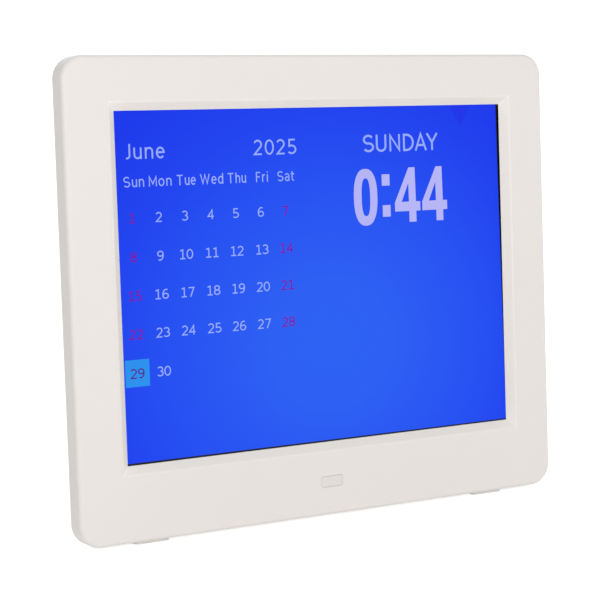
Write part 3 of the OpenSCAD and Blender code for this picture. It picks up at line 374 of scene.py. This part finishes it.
# The picture on the display: a lit blue field, a calendar on the left, the weekday and time on the right.
picture = {
    "field": ((-81.4, 27.0), (82.5, 26.8), (81.0, 149.1), (-81.4, 149.1)),
    "depth": 3.8,              # the glass's face behind the frame's
    "film": 0.1,               # how far the lit field stands on the glass
    "ink": 0.06,               # how far the letters stand on the field
    "glow": (4.0, 62.0),       # brightest point of the field
    "reach": (120.0, 110.0),   # distance at which it has faded, across and up
    "blues": ((0.0, (41, 96, 243)), (0.2, (41, 95, 243)), (0.33, (39, 88, 242)), (0.55, (33, 79, 241)),
              (0.76, (28, 66, 239)), (1.0, (23, 55, 234))),
    "pale": (152, 175, 252), "time": (184, 184, 250), "weekend": (126, 8, 160),
    "markBox": (42, 146, 240), "marked": (78, 22, 140), "pointer": (27, 53, 235),
    "dateHigh": 3.4, "stroke": 0.42, "broad": 1.27,
    "gap": 0.2, "figureGap": 0.12,       # between letters, and between a date's figures
    "today": 29, "days": 30,
    "columns": (-74.75, -64.5, -54.4, -44.15, -34.15, -23.95, -13.8),
    "rows": ((0, 111.5), (0, 98.1), (0, 84.8), (-0.1, 71.5), (-0.3, 58.0)),    # nudge across, height
    "todayBox": (-79.65, 53.4, 9.25, 9.4),
    "topPointer": ((59.6, 148.3), (69.3, 148.3), (64.0, 140.0)),
    # words, left and right edges, baseline, capitals' tops, width of stroke
    "words": (
        ("June", -76.44, -61.32, 131.66, 136.9, 0.62), ("2025", -26.0, -8.4, 131.7, 137.1, 0.62),
        ("SUNDAY", 20.22, 53.71, 131.5, 137.8, 0.8), ("Sun", -77.49, -69.66, 122.1, 125.7, 0.42),
        ("Mon", -67.85, -59.09, 122.1, 125.7, 0.42), ("Tue", -57.23, -49.63, 122.1, 125.7, 0.42),
        ("Wed", -47.91, -38.71, 122.1, 125.7, 0.42), ("Thu", -37.10, -29.52, 122.1, 125.7, 0.42),
        ("Fri", -25.45, -20.58, 122.1, 125.7, 0.42), ("Sat", -16.61, -9.43, 122.1, 125.7, 0.42),
    ),
}
fieldFace = -picture["depth"] + picture["film"]


def litField():
    mat, tree, shader = startMaterial("litField", (0, 0, 0, 1), 0.6, gloss=0.05)
    coords = tree.nodes.new("ShaderNodeTexCoord")
    place = tree.nodes.new("ShaderNodeMapping")
    place.inputs["Rotation"].default_value = (lean, 0, 0)
    level = stand["shiftY"] * math.sin(lean) + stand["shiftZ"] * math.cos(lean)
    place.inputs["Location"].default_value = (-picture["glow"][0] / 1000, 0,
                                              -(picture["glow"][1] + level) / 1000)
    reach = tree.nodes.new("ShaderNodeVectorMath")
    reach.operation = "MULTIPLY"
    reach.inputs[1].default_value = (1000 / picture["reach"][0], 0, 1000 / picture["reach"][1])
    away = tree.nodes.new("ShaderNodeVectorMath")
    away.operation = "LENGTH"
    ramp = tree.nodes.new("ShaderNodeValToRGB")
    stops = ramp.color_ramp.elements
    stops[1].position = 1.0
    for spot, blue in picture["blues"]:
        stop = stops[0] if spot == 0 else stops[-1] if spot == 1 else stops.new(spot)
        stop.color = tint(*blue)
    tree.links.new(coords.outputs["Object"], place.inputs["Vector"])
    tree.links.new(place.outputs["Vector"], reach.inputs[0])
    tree.links.new(reach.outputs["Vector"], away.inputs[0])
    tree.links.new(away.outputs["Value"], ramp.inputs["Fac"])
    tree.links.new(ramp.outputs["Color"], shader.inputs["Emission Color"])
    shader.inputs["Emission Strength"].default_value = 1.0
    emboss(tree, shader, grain(tree, 0.25), 0.002)
    return mat


# lit letters, with the backlight a touch uneven from one part of the glass to another
def litInk(name, colour):
    mat, tree, shader = startMaterial(name, (0, 0, 0, 1), 0.6, gloss=0.05)
    ramp = tree.nodes.new("ShaderNodeValToRGB")
    ends = ramp.color_ramp.elements
    ends[0].position, ends[0].color = 0.3, dimmed(tint(*colour), 0.94)
    ends[1].position, ends[1].color = 0.7, tint(*colour)
    tree.links.new(grain(tree, 30), ramp.inputs["Fac"])
    tree.links.new(ramp.outputs["Color"], shader.inputs["Emission Color"])
    shader.inputs["Emission Strength"].default_value = 1.0
    return mat


def bow(cx, cy, wide, high, first, last, steps=10):
    turns = [math.radians(first + (last - first) * i / steps) for i in range(steps + 1)]
    return [(cx + wide * math.cos(a), cy + high * math.sin(a)) for a in turns]


# The display's letters are strokes of one width. Each glyph has its strokes' middle lines, capitals 1 high.
glyphs = {
    "0": [bow(0.3, 0.5, 0.25, 0.45, 90, 450, 20)],
    "1": [[(0.1, 0.86), (0.33, 0.95), (0.33, 0.05)], [(0.08, 0.05), (0.55, 0.05)]],
    "2": [bow(0.29, 0.69, 0.23, 0.26, 155, -30) + [(0.07, 0.05), (0.55, 0.05)]],
    "3": [bow(0.26, 0.72, 0.23, 0.23, 145, -80), bow(0.26, 0.29, 0.26, 0.24, 80, -145)],
    "4": [[(0.43, 0.0), (0.43, 0.95), (0.05, 0.3), (0.58, 0.3)]],
    "5": [[(0.5, 0.95), (0.13, 0.95), (0.12, 0.53)] + bow(0.27, 0.31, 0.27, 0.26, 118, -140)],
    "6": [bow(0.31, 0.3, 0.24, 0.25, 90, 450, 16), bow(0.36, 0.44, 0.29, 0.51, 65, 190)],
    "7": [[(0.06, 0.95), (0.54, 0.95), (0.22, 0.0)]],
    "8": [bow(0.3, 0.73, 0.21, 0.22, 90, 450, 16), bow(0.3, 0.28, 0.25, 0.23, 90, 450, 16)],
    "9": [bow(0.29, 0.7, 0.24, 0.25, 90, 450, 16), bow(0.24, 0.56, 0.29, 0.51, 10, -115)],
    "A": [[(0.03, 0.0), (0.34, 0.97), (0.65, 0.0)], [(0.14, 0.32), (0.54, 0.32)]],
    "D": [[(0.08, 0.05), (0.08, 0.95), (0.2, 0.95)] + bow(0.23, 0.5, 0.38, 0.45, 90, -90) + [(0.08, 0.05)]],
    "F": [[(0.08, 0.0), (0.08, 0.95), (0.5, 0.95)], [(0.08, 0.52), (0.45, 0.52)]],
    "J": [[(0.32, 1.0)] + bow(0.13, 0.25, 0.19, 0.2, 0, -95)],
    "M": [[(0.08, 0.0), (0.08, 0.94), (0.4, 0.25), (0.72, 0.94), (0.72, 0.0)]],
    "N": [[(0.08, 0.0), (0.08, 0.93), (0.6, 0.07), (0.6, 1.0)]],
    "S": [bow(0.31, 0.72, 0.25, 0.23, 30, 250) + bow(0.32, 0.28, 0.26, 0.23, 70, -150)],
    "T": [[(0.0, 0.95), (0.64, 0.95)], [(0.32, 0.95), (0.32, 0.0)]],
    "U": [[(0.08, 1.0)] + bow(0.33, 0.32, 0.25, 0.27, 180, 360) + [(0.58, 1.0)]],
    "W": [[(0.02, 1.0), (0.24, 0.07), (0.46, 0.94), (0.68, 0.07), (0.9, 1.0)]],
    "Y": [[(0.02, 1.0), (0.32, 0.47), (0.62, 1.0)], [(0.32, 0.47), (0.32, 0.0)]],
    "a": [bow(0.25, 0.5, 0.2, 0.22, 150, 0) + [(0.45, 0.0)], bow(0.26, 0.23, 0.19, 0.18, 60, 310, 12)],
    "d": [[(0.48, 1.03), (0.48, 0.0)], bow(0.27, 0.38, 0.21, 0.33, 90, 450, 16)],
    "e": [[(0.06, 0.4), (0.48, 0.4)] + bow(0.27, 0.38, 0.21, 0.33, 8, 318, 14)],
    "h": [[(0.08, 1.03), (0.08, 0.0)], bow(0.28, 0.48, 0.19, 0.23, 180, 0) + [(0.47, 0.0)]],
    "i": [[(0.08, 0.75), (0.08, 0.0)], [(0.08, 1.02), (0.08, 0.9)]],
    "n": [[(0.08, 0.75), (0.08, 0.0)], bow(0.28, 0.48, 0.19, 0.23, 180, 0) + [(0.47, 0.0)]],
    "o": [bow(0.28, 0.38, 0.23, 0.33, 90, 450, 16)],
    "r": [[(0.08, 0.75), (0.08, 0.0)], bow(0.29, 0.44, 0.21, 0.27, 180, 75)],
    "t": [[(0.16, 0.97)] + bow(0.34, 0.24, 0.18, 0.19, 180, 275), [(0.02, 0.7), (0.38, 0.7)]],
    "u": [[(0.08, 0.75)] + bow(0.27, 0.28, 0.19, 0.23, 180, 360), [(0.46, 0.75), (0.46, 0.0)]],
}


# a flat ribbon of one width along a line of points, mitred at its corners
def ribbon(shape, line, wide, low, high):
    closed = (Vector(line[0]) - Vector(line[-1])).length < 1e-6
    spots = [Vector(p) for p in (line[:-1] if closed else line)]
    count, sides = len(spots), []
    for i, spot in enumerate(spots):
        before = spot - spots[i - 1] if closed or i > 0 else spots[1] - spots[0]
        after = spots[(i + 1) % count] - spot if closed or i < count - 1 else before
        before, after = before.normalized(), after.normalized()
        middle = (before + after).normalized()
        reach = min(1 / max(middle.dot(after), 0.3), 2.4) * wide / 2
        out = Vector((-middle.y, middle.x)) * reach
        sides.append([shape.verts.new((*(spot + side * out), z)) for side, z in
                      ((1, low), (-1, low), (-1, high), (1, high))])
    for i in range(count if closed else count - 1):
        here, there = sides[i], sides[(i + 1) % count]
        for j in range(4):
            shape.faces.new((here[j], here[(j + 1) % 4], there[(j + 1) % 4], there[j]))
    if not closed:
        shape.faces.new(sides[0])
        shape.faces.new(sides[-1])


closePairs = {"AY": 0.16, "DA": 0.08, "SU": 0.06}     # letters that stand closer together than the rest


# words fitted between two edges across, from a baseline to the capitals' tops
def written(shape, words, left, right, base, top, wide, low, high):
    strokes, pen = [], 0.0
    for i, letter in enumerate(words):
        parts = glyphs[letter]
        pen -= closePairs.get(words[max(i - 1, 0):i + 1], 0)
        strokes += [[(x + pen, y) for x, y in part] for part in parts]
        pen += max(x for part in parts for x, y in part) + picture["figureGap" if right is None else "gap"]
    near = min(x for part in strokes for x, y in part)
    far = max(x for part in strokes for x, y in part)
    tall = top - base
    if right is None:                       # centred on left, at the figures' usual breadth
        span = (far - near) * tall * picture["broad"]
        left, right = left - span / 2, left + span / 2
    else:
        left, right = left + wide / 2, right - wide / 2
    scale = (right - left) / (far - near)
    for part in strokes:
        ribbon(shape, [(left + (x - near) * scale, base + y * tall) for x, y in part], wide, low, high)


def madeFrom(shape, name):
    mesh = bpy.data.meshes.new(name)
    bmesh.ops.recalc_face_normals(shape, faces=shape.faces)
    shape.to_mesh(mesh)
    shape.free()
    return mesh


def makePicture():
    field = flatShape([picture["field"]], -picture["depth"], fieldFace)
    meshToPiece("litPicture", field, front, "clock", litField())

    low, high = fieldFace, fieldFace + picture["ink"]
    pale, weekend, marked = bmesh.new(), bmesh.new(), bmesh.new()
    for words, left, right, base, top, wide in picture["words"]:
        written(pale, words, left, right, base, top, wide, low, high)
    half = picture["dateHigh"] / 2
    for day in range(1, picture["days"] + 1):
        week, weekday = divmod(day - 1, 7)
        aside, y = picture["rows"][week]
        x = picture["columns"][weekday] + aside
        today = day == picture["today"]
        shape = marked if today else weekend if weekday in (0, 6) else pale
        written(shape, str(day), x, None, y - half, y + half, picture["stroke"], low,
                high + (picture["ink"] if today else 0))
    box = flatShape([roundedBox(*picture["todayBox"], 0.1, 1)], low, high)
    meshToPiece("todayBox", box, front, "clock", litInk("todayBlue", picture["markBox"]))
    pointer = flatShape([picture["topPointer"]], low, high)
    meshToPiece("topPointer", pointer, front, "clock", litInk("pointerBlue", picture["pointer"]))
    for name, shape, ink, colour in (("calendarLetters", pale, "paleInk", picture["pale"]),
                                     ("weekendDates", weekend, "weekendInk", picture["weekend"]),
                                     ("todayDate", marked, "todayInk", picture["marked"])):
        meshToPiece(name, madeFrom(shape, name), front, "clock", litInk(ink, colour), merge=False)


# the big condensed figures of the time are drawn as outlines
def makeTime():
    def four(x):
        return [[(x + 40.02, 125.35), (x + 42.75, 125.35), (x + 42.98, 112.6), (x + 44.9, 112.6),
                 (x + 44.9, 109.1), (x + 43.0, 109.1), (x + 43.02, 105.02), (x + 39.9, 105.02),
                 (x + 39.9, 109.1), (x + 33.55, 109.1), (x + 33.54, 112.42)],
                [(x + 39.75, 119.6), (x + 36.55, 112.6), (x + 39.85, 112.6)]]

    def loop(x, y, wide, high, square):
        turns = [2 * math.pi * i / 48 for i in range(48)]
        return [(x + wide / 2 * math.copysign(abs(math.cos(a)) ** square, math.cos(a)),
                 y + high / 2 * math.copysign(abs(math.sin(a)) ** square, math.sin(a))) for a in turns]

    shapes = [
        [loop(20.68, 114.93, 10.3, 20.9, 0.84), loop(20.78, 114.95, 3.75, 13.9, 0.76)],
        [roundedBox(27.95, 118.9, 3.45, 4.2, 0.1, 1)], [roundedBox(28.05, 107.4, 3.45, 4.3, 0.1, 1)],
        four(0), four(12.3),
    ]
    low, high = fieldFace, fieldFace + picture["ink"]
    figures = joined([flatShape(shape, low, high) for shape in shapes])
    meshToPiece("timeFigures", figures, front, "clock", litInk("timeInk", picture["time"]))


makePicture()
makeTime()
for name in ("litPicture", "calendarLetters", "weekendDates", "todayBox", "todayDate", "topPointer",
             "timeFigures"):
    lit = bpy.data.objects[name]
    lit.visible_diffuse = lit.visible_glossy = False      # its glow doesn't tint the white bevels
print("display picture made")


# A template is repeated by a node tree on a grid of points, then taken back as a plain mesh.
def gridTree(name, mat):
    tree = bpy.data.node_groups.new(name, "GeometryNodeTree")
    face = tree.interface
    face.new_socket("Template", in_out="INPUT", socket_type="NodeSocketGeometry")
    for label, kind in (("Columns", "Int"), ("Rows", "Int"), ("Width", "Float"), ("Height", "Float")):
        face.new_socket(label, in_out="INPUT", socket_type="NodeSocket" + kind)
    face.new_socket("Geometry", in_out="OUTPUT", socket_type="NodeSocketGeometry")
    given = tree.nodes.new("NodeGroupInput")
    result = tree.nodes.new("NodeGroupOutput")
    grid = tree.nodes.new("GeometryNodeMeshGrid")
    copies = tree.nodes.new("GeometryNodeInstanceOnPoints")
    real = tree.nodes.new("GeometryNodeRealizeInstances")
    paint = tree.nodes.new("GeometryNodeSetMaterial")
    paint.inputs["Material"].default_value = mat
    for label, socket in (("Columns", "Vertices X"), ("Rows", "Vertices Y"), ("Width", "Size X"),
                          ("Height", "Size Y")):
        tree.links.new(given.outputs[label], grid.inputs[socket])
    tree.links.new(grid.outputs["Mesh"], copies.inputs["Points"])
    tree.links.new(given.outputs["Template"], copies.inputs["Instance"])
    tree.links.new(copies.outputs["Instances"], real.inputs["Geometry"])
    tree.links.new(real.outputs["Geometry"], paint.inputs["Geometry"])
    tree.links.new(paint.outputs["Geometry"], result.inputs["Geometry"])
    return tree


def grown(template, tree, sizes):
    holder = bpy.data.objects.new("template", template)
    bpy.context.scene.collection.objects.link(holder)
    modifier = holder.modifiers.new("repeat", "NODES")
    modifier.node_group = tree
    for item in tree.interface.items_tree:
        if item.item_type == "SOCKET" and item.in_out == "INPUT" and item.name in sizes:
            modifier[item.identifier] = sizes[item.name]
    bpy.context.view_layer.update()
    made = bpy.data.meshes.new_from_object(holder.evaluated_get(bpy.context.evaluated_depsgraph_get()))
    holder.modifiers.remove(modifier)
    bpy.data.objects.remove(holder)
    return made


# a shape turned about z from (radius, height) pairs, closed at both ends
def lathe(profile, steps=32):
    shape = bmesh.new()
    rings = []
    for radius, height in profile:
        if radius == 0:
            rings.append([shape.verts.new((0, 0, height))])
        else:
            rings.append([shape.verts.new((radius * math.cos(2 * math.pi * i / steps),
                                           radius * math.sin(2 * math.pi * i / steps), height))
                          for i in range(steps)])
    for low, high in zip(rings, rings[1:]):
        for i in range(steps):
            j = (i + 1) % steps
            if len(low) == 1:
                shape.faces.new((low[0], high[j], high[i]))
            elif len(high) == 1:
                shape.faces.new((low[i], low[j], high[0]))
            else:
                shape.faces.new((low[i], low[j], high[j], high[i]))
    mesh = bpy.data.meshes.new("turned")
    shape.to_mesh(mesh)
    shape.free()
    return mesh


def cutBy(mesh, cutter):
    body = bpy.data.objects.new("body", mesh)
    tool = bpy.data.objects.new("tool", cutter)
    for holder in (body, tool):
        bpy.context.scene.collection.objects.link(holder)
    cut = body.modifiers.new("cut", "BOOLEAN")
    cut.operation = "DIFFERENCE"
    cut.object = tool
    bpy.context.view_layer.update()
    made = bpy.data.meshes.new_from_object(body.evaluated_get(bpy.context.evaluated_depsgraph_get()))
    for holder in (body, tool):
        bpy.data.objects.remove(holder)
    return made


# the part of a face that lies less than a depth behind the clock's face; each corner has its normal
def trimmed(ring, depth):
    kept = []
    for (spot, normal), (nextSpot, nextNormal) in zip(ring, ring[1:] + ring[:1]):
        here, there = [(p * 1000 - corner).dot(outBack) - depth for p in (spot, nextSpot)]
        if here <= 0:
            kept.append((spot, normal))
        if here * there < 0:
            share = here / (here - there)
            kept.append((spot.lerp(nextSpot, share), normal.lerp(nextNormal, share).normalized()))
    return kept


# The rear cover as it is shown. The sloping sides of its solid run on past the rounded edge as a skin of
# no thickness, so they are trimmed where the rounding starts.
def makeCoverShell():
    skin = {
        "start": 22.108, "end": 22.7,        # depths where the rounding starts, and where only skin is steep
        "slope": (0.003, 0.12),              # sines of the sides' slope
        "shelf": (0.4, 0.05),                # closes the cut from within: its width, and how much it falls
        "near": 0.001, "alike": 0.999,       # a point on the cut, and cosine of normals that don't break
    }
    source = nodes["rear_cover"].data
    rings = []
    for face in source.polygons:
        ring = [(source.vertices[i].co.copy(), source.corner_normals[j].vector.copy())
                for i, j in zip(face.vertices, face.loop_indices)]
        deepest = max((spot * 1000 - corner).dot(outBack) for spot, _ in ring)
        steep = skin["slope"][0] < abs(face.normal.dot(outBack)) < skin["slope"][1]
        if steep and deepest > skin["end"]:
            ring = trimmed(ring, skin["start"])
            cut = [spot for spot, _ in ring
                   if (spot * 1000 - corner).dot(outBack) > skin["start"] - skin["near"]]
            if len(cut) == 2 and face.normal.dot(outBack) > 0:
                if (cut[1] - cut[0]).dot(outBack.cross(face.normal)) > 0:
                    cut.reverse()
                fall = (-face.normal * skin["shelf"][0] - outBack * skin["shelf"][1]) / 1000
                shelf = [cut[0], cut[0] + fall, cut[1] + fall, cut[1]]
                rings.append([(spot, outBack.copy()) for spot in shelf])
        rings.append(ring)

    spots, index, faces, normals = [], {}, [], []
    for ring in rings:
        seats = []
        for spot, _ in ring:
            key = tuple(round(c * 1e6, 1) for c in spot)
            if key not in index:
                index[key] = len(spots)
                spots.append(spot)
            seats.append(index[key])
        if len(seats) > 2 and len(set(seats)) == len(seats):
            faces.append(seats)
            normals += [normal for _, normal in ring]
    mesh = bpy.data.meshes.new("coverShell")
    mesh.from_pydata(spots, [], faces)

    # an edge is sharp where the solid's own normals break over it
    firsts = {}
    for face in mesh.polygons:
        around = list(face.loop_indices)
        for here, after in zip(around, around[1:] + around[:1]):
            edge = mesh.edges[mesh.loops[here].edge_index]
            for end in (here, after):
                first = firsts.setdefault((edge.index, mesh.loops[end].vertex_index), normals[end])
                if first.dot(normals[end]) < skin["alike"]:
                    edge.use_edge_sharp = True
    shown = meshToPiece("coverShell", mesh, Matrix(), "clock", coverShell, smooth=True, merge=False)
    shown.data.normals_split_custom_set(normals)
    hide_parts("rear_cover")
    print("rear cover trimmed from", len(source.polygons), "faces to", len(faces))


# six case screws at the bottom of their cups, with a domed head and a cross recess that narrows inwards
def makeCaseScrews():
    screw = {"head": 4.0, "tall": 1.4, "top": 8.0, "shank": 2.0, "long": 5.0, "crossLong": 2.4,
             "crossWide": 0.62, "crossDeep": 0.9, "apart": 185.2, "rise": 71.5, "middle": 83.5,
             "rim": 0.45, "point": 0.45, "narrow": (0.45, 0.7), "sides": 28}
    r, rim = screw["head"] / 2, screw["rim"]
    dome = [(r * math.cos(math.radians(a)), rim + (screw["tall"] - rim) * math.sin(math.radians(a)))
            for a in (0, 12, 26, 42, 60, 76)]
    shank, end = screw["shank"] / 2, -screw["long"]
    head = lathe([(0, end), (shank - screw["point"], end + 0.1), (shank, end + 1.1), (shank, 0), (r, 0)]
                 + dome + [(0, screw["tall"])], screw["sides"])
    top, deep, half = screw["tall"] + 0.1, screw["tall"] - screw["crossDeep"], screw["crossLong"] / 2
    wide = screw["crossWide"] / 2
    short, thin = half * screw["narrow"][0], wide * screw["narrow"][1]
    slots = []
    for turn in (0, 90):
        cross = bmesh.new()
        corners = [cross.verts.new((x, y, z)) for x, y, z in (
            (-short, -thin, deep), (short, -thin, deep), (short, thin, deep), (-short, thin, deep),
            (-half, -wide, top), (half, -wide, top), (half, wide, top), (-half, wide, top))]
        for side in ((3, 2, 1, 0), (4, 5, 6, 7), (0, 1, 5, 4), (1, 2, 6, 5), (2, 3, 7, 6), (3, 0, 4, 7)):
            cross.faces.new([corners[i] for i in side])
        slot = madeFrom(cross, "slot")
        slot.transform(Matrix.Rotation(math.radians(turn), 4, "Z"))
        slots.append(slot)
    for slot in slots:
        head = cutBy(head, slot)
    rows = grown(head, gridTree("caseScrewRows", zincSteel),
                 {"Columns": 2, "Rows": 3, "Width": screw["apart"], "Height": screw["rise"] * 2})
    rows.transform(Matrix.Translation((0, screw["middle"], screw["top"] - screw["tall"])))
    screws = meshToPiece("crossScrews", rows, back, "clock", zincSteel)
    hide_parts("case_screws")


# raised marks on the keys: generic signs that any such clock has
def makeKeyMarks():
    mark = {"face": 25.8, "sunk": 0.05, "proud": 0.12, "high": 128.0, "step": 14.0, "line": 0.42,
            "arrow": ((1.1, 0), (-0.7, 1.05), (-0.7, -1.05))}
    low, high = mark["face"] - mark["sunk"], mark["face"] + mark["proud"]

    def lines(*parts):
        shape = bmesh.new()
        for part in parts:
            ribbon(shape, part, mark["line"], low, high)
        return madeFrom(shape, "mark")

    def arrow(turn):
        spin = Matrix.Rotation(math.radians(turn), 2)
        return flatShape([[spin @ Vector(p) for p in mark["arrow"]]], low, high)

    signs = {
        "power": lines(bow(0, 0, 1.15, 1.15, 125, 415, 20), [(0, 0.35), (0, 1.5)]),
        "menu": lines([(-1.2, 0.95), (1.2, 0.95)], [(-1.2, 0), (1.2, 0)], [(-1.2, -0.95), (1.2, -0.95)]),
        "left": arrow(0), "up": arrow(90), "down": arrow(-90), "right": arrow(180),    # seen from behind
        "ok": lines(bow(0, 0, 1.1, 1.1, 0, 360, 20)),
    }
    for i, (key, sign) in enumerate(signs.items()):
        x = (i - 3) * mark["step"]          # the keys run along X; seen from behind they run the other way
        sign.transform(Matrix.Translation((-x, mark["high"], 0)))
        meshToPiece(key + "Mark", sign, back, key + "_key", markPaint)


# the data socket's moulded tongue with its four spring contacts, seen through its mouth
def makeContacts():
    tongue = {"root": 66.75, "tip": 76.27, "half": 5.87, "shallow": 14.83, "deep": 16.87, "soft": 0.25}
    strip = {"wide": 1.0, "thick": 0.14, "long": 7.6, "soft": 0.2, "apart": 2.33, "count": 4,
             "along": 71.9, "up": 101.6}
    outline = roundedBox(tongue["root"], strip["up"] - tongue["half"], tongue["tip"] - tongue["root"],
                         2 * tongue["half"], tongue["soft"], 4)
    block = flatShape([outline], -tongue["deep"], -tongue["shallow"])
    meshToPiece("socketTongue", block, front, "clock", blackPlastic)
    outline = roundedBox(-strip["long"] / 2, -strip["wide"] / 2, strip["long"], strip["wide"],
                         strip["soft"], 3)
    blade = flatShape([outline], 0, strip["thick"])
    rows = grown(blade, gridTree("contactRows", goldFlash),
                 {"Columns": 1, "Rows": strip["count"], "Width": 0.0,
                  "Height": strip["apart"] * (strip["count"] - 1)})
    rows.transform(Matrix.Translation((strip["along"], strip["up"], -tongue["shallow"])))
    meshToPiece("dataContacts", rows, front, "clock", goldFlash)


# nickel sleeve on the power jack's pin
def makeJackPin():
    pin = {"radius": 1.03, "tip": 78.25, "root": 68.0, "up": 115.6, "deep": 17.6}
    r = pin["radius"]
    sleeve = lathe([(0, pin["root"]), (r, pin["root"]), (r, pin["tip"] - 0.5), (r - 0.15, pin["tip"] - 0.2),
                    (r - 0.45, pin["tip"]), (0, pin["tip"])], 24)
    sleeve.transform(Matrix.Translation((pin["deep"], pin["up"], 0)))
    meshToPiece("jackPin", sleeve, right, "clock", zincSteel)


makeCoverShell()
makeCaseScrews()
makeKeyMarks()
makeContacts()
makeJackPin()
print("screws, key marks and contacts made")

# floor, light and camera
floorLook = {"colour": (247, 246, 245), "lift": 0.6, "size": 6.0}
lightLook = {
    "world": 0.53, "aim": (0, 0, 0.08),
    "lamps": {                # place and breadth in metres, watts
        "key": ((-0.32, -0.8, 0.34), 0.5, 2.65),
        "side": ((1.2, -0.8, 0.5), 1.0, 2.5),
        "rear": ((0.35, 1.15, 0.85), 1.0, 3.9),
    },
}


# 1 for rays that show the background: straight from the camera, off gloss or through glass
def seesBackground(tree):
    seen = tree.nodes.new("ShaderNodeLightPath")
    value = seen.outputs["Is Camera Ray"]
    for ray in ("Is Glossy Ray", "Is Transmission Ray"):
        larger = tree.nodes.new("ShaderNodeMath")
        larger.operation = "MAXIMUM"
        tree.links.new(value, larger.inputs[0])
        tree.links.new(seen.outputs[ray], larger.inputs[1])
        value = larger.outputs["Value"]
    return value


def makeFloor():
    mesh = bpy.data.meshes.new("floor")
    half = floorLook["size"] / 2
    corners = [(-half, -half, 0), (half, -half, 0), (half, half, 0), (-half, half, 0)]
    mesh.from_pydata(corners, [], [(0, 1, 2, 3)])
    floor = bpy.data.objects.new("floor", mesh)
    bpy.context.scene.collection.objects.link(floor)
    mat, tree, shader = startMaterial("paleFloor", tint(*floorLook["colour"]), 0.9, gloss=0.0)
    lift = tree.nodes.new("ShaderNodeMath")
    lift.operation = "MULTIPLY"
    lift.inputs[1].default_value = floorLook["lift"]
    tree.links.new(seesBackground(tree), lift.inputs[0])
    shader.inputs["Emission Color"].default_value = (1, 1, 1, 1)
    tree.links.new(lift.outputs["Value"], shader.inputs["Emission Strength"])
    mesh.materials.append(mat)


def makeWorld():
    world = bpy.data.worlds.new("studio")
    bpy.context.scene.world = world
    world.use_nodes = True
    tree = world.node_tree
    sky = tree.nodes["Background"]
    sky.inputs["Color"].default_value = (1, 1, 1, 1)
    level = tree.nodes.new("ShaderNodeMapRange")
    level.inputs["To Min"].default_value = lightLook["world"]
    level.inputs["To Max"].default_value = 1.0
    tree.links.new(seesBackground(tree), level.inputs["Value"])
    tree.links.new(level.outputs["Result"], sky.inputs["Strength"])


def addSoftbox(name, at, aim, size, watts):
    lamp = bpy.data.lights.new(name, "AREA")
    lamp.shape = "SQUARE"
    lamp.size = size
    lamp.energy = watts
    holder = bpy.data.objects.new(name, lamp)
    holder.location = at
    holder.rotation_euler = (Vector(aim) - Vector(at)).to_track_quat("-Z", "Y").to_euler()
    bpy.context.scene.collection.objects.link(holder)


def addCamera():
    shot = {"at": (-0.3570167, -0.5781767, 0.2306804), "turn": (77.1137, -3.2394, -30.8558),
            "lens": 113.089, "sensor": 36, "nearest": 0.01}
    camera = bpy.data.cameras.new("camera")
    camera.lens = shot["lens"]
    camera.sensor_width = shot["sensor"]
    camera.clip_start = shot["nearest"]
    holder = bpy.data.objects.new("camera", camera)
    holder.location = shot["at"]
    holder.rotation_euler = [math.radians(a) for a in shot["turn"]]
    bpy.context.scene.collection.objects.link(holder)
    bpy.context.scene.camera = holder


makeFloor()
makeWorld()
for name, (at, size, watts) in lightLook["lamps"].items():
    addSoftbox(name, at, lightLook["aim"], size, watts)
addCamera()
bpy.context.scene.view_settings.view_transform = "Standard"
print("floor, light and camera set")
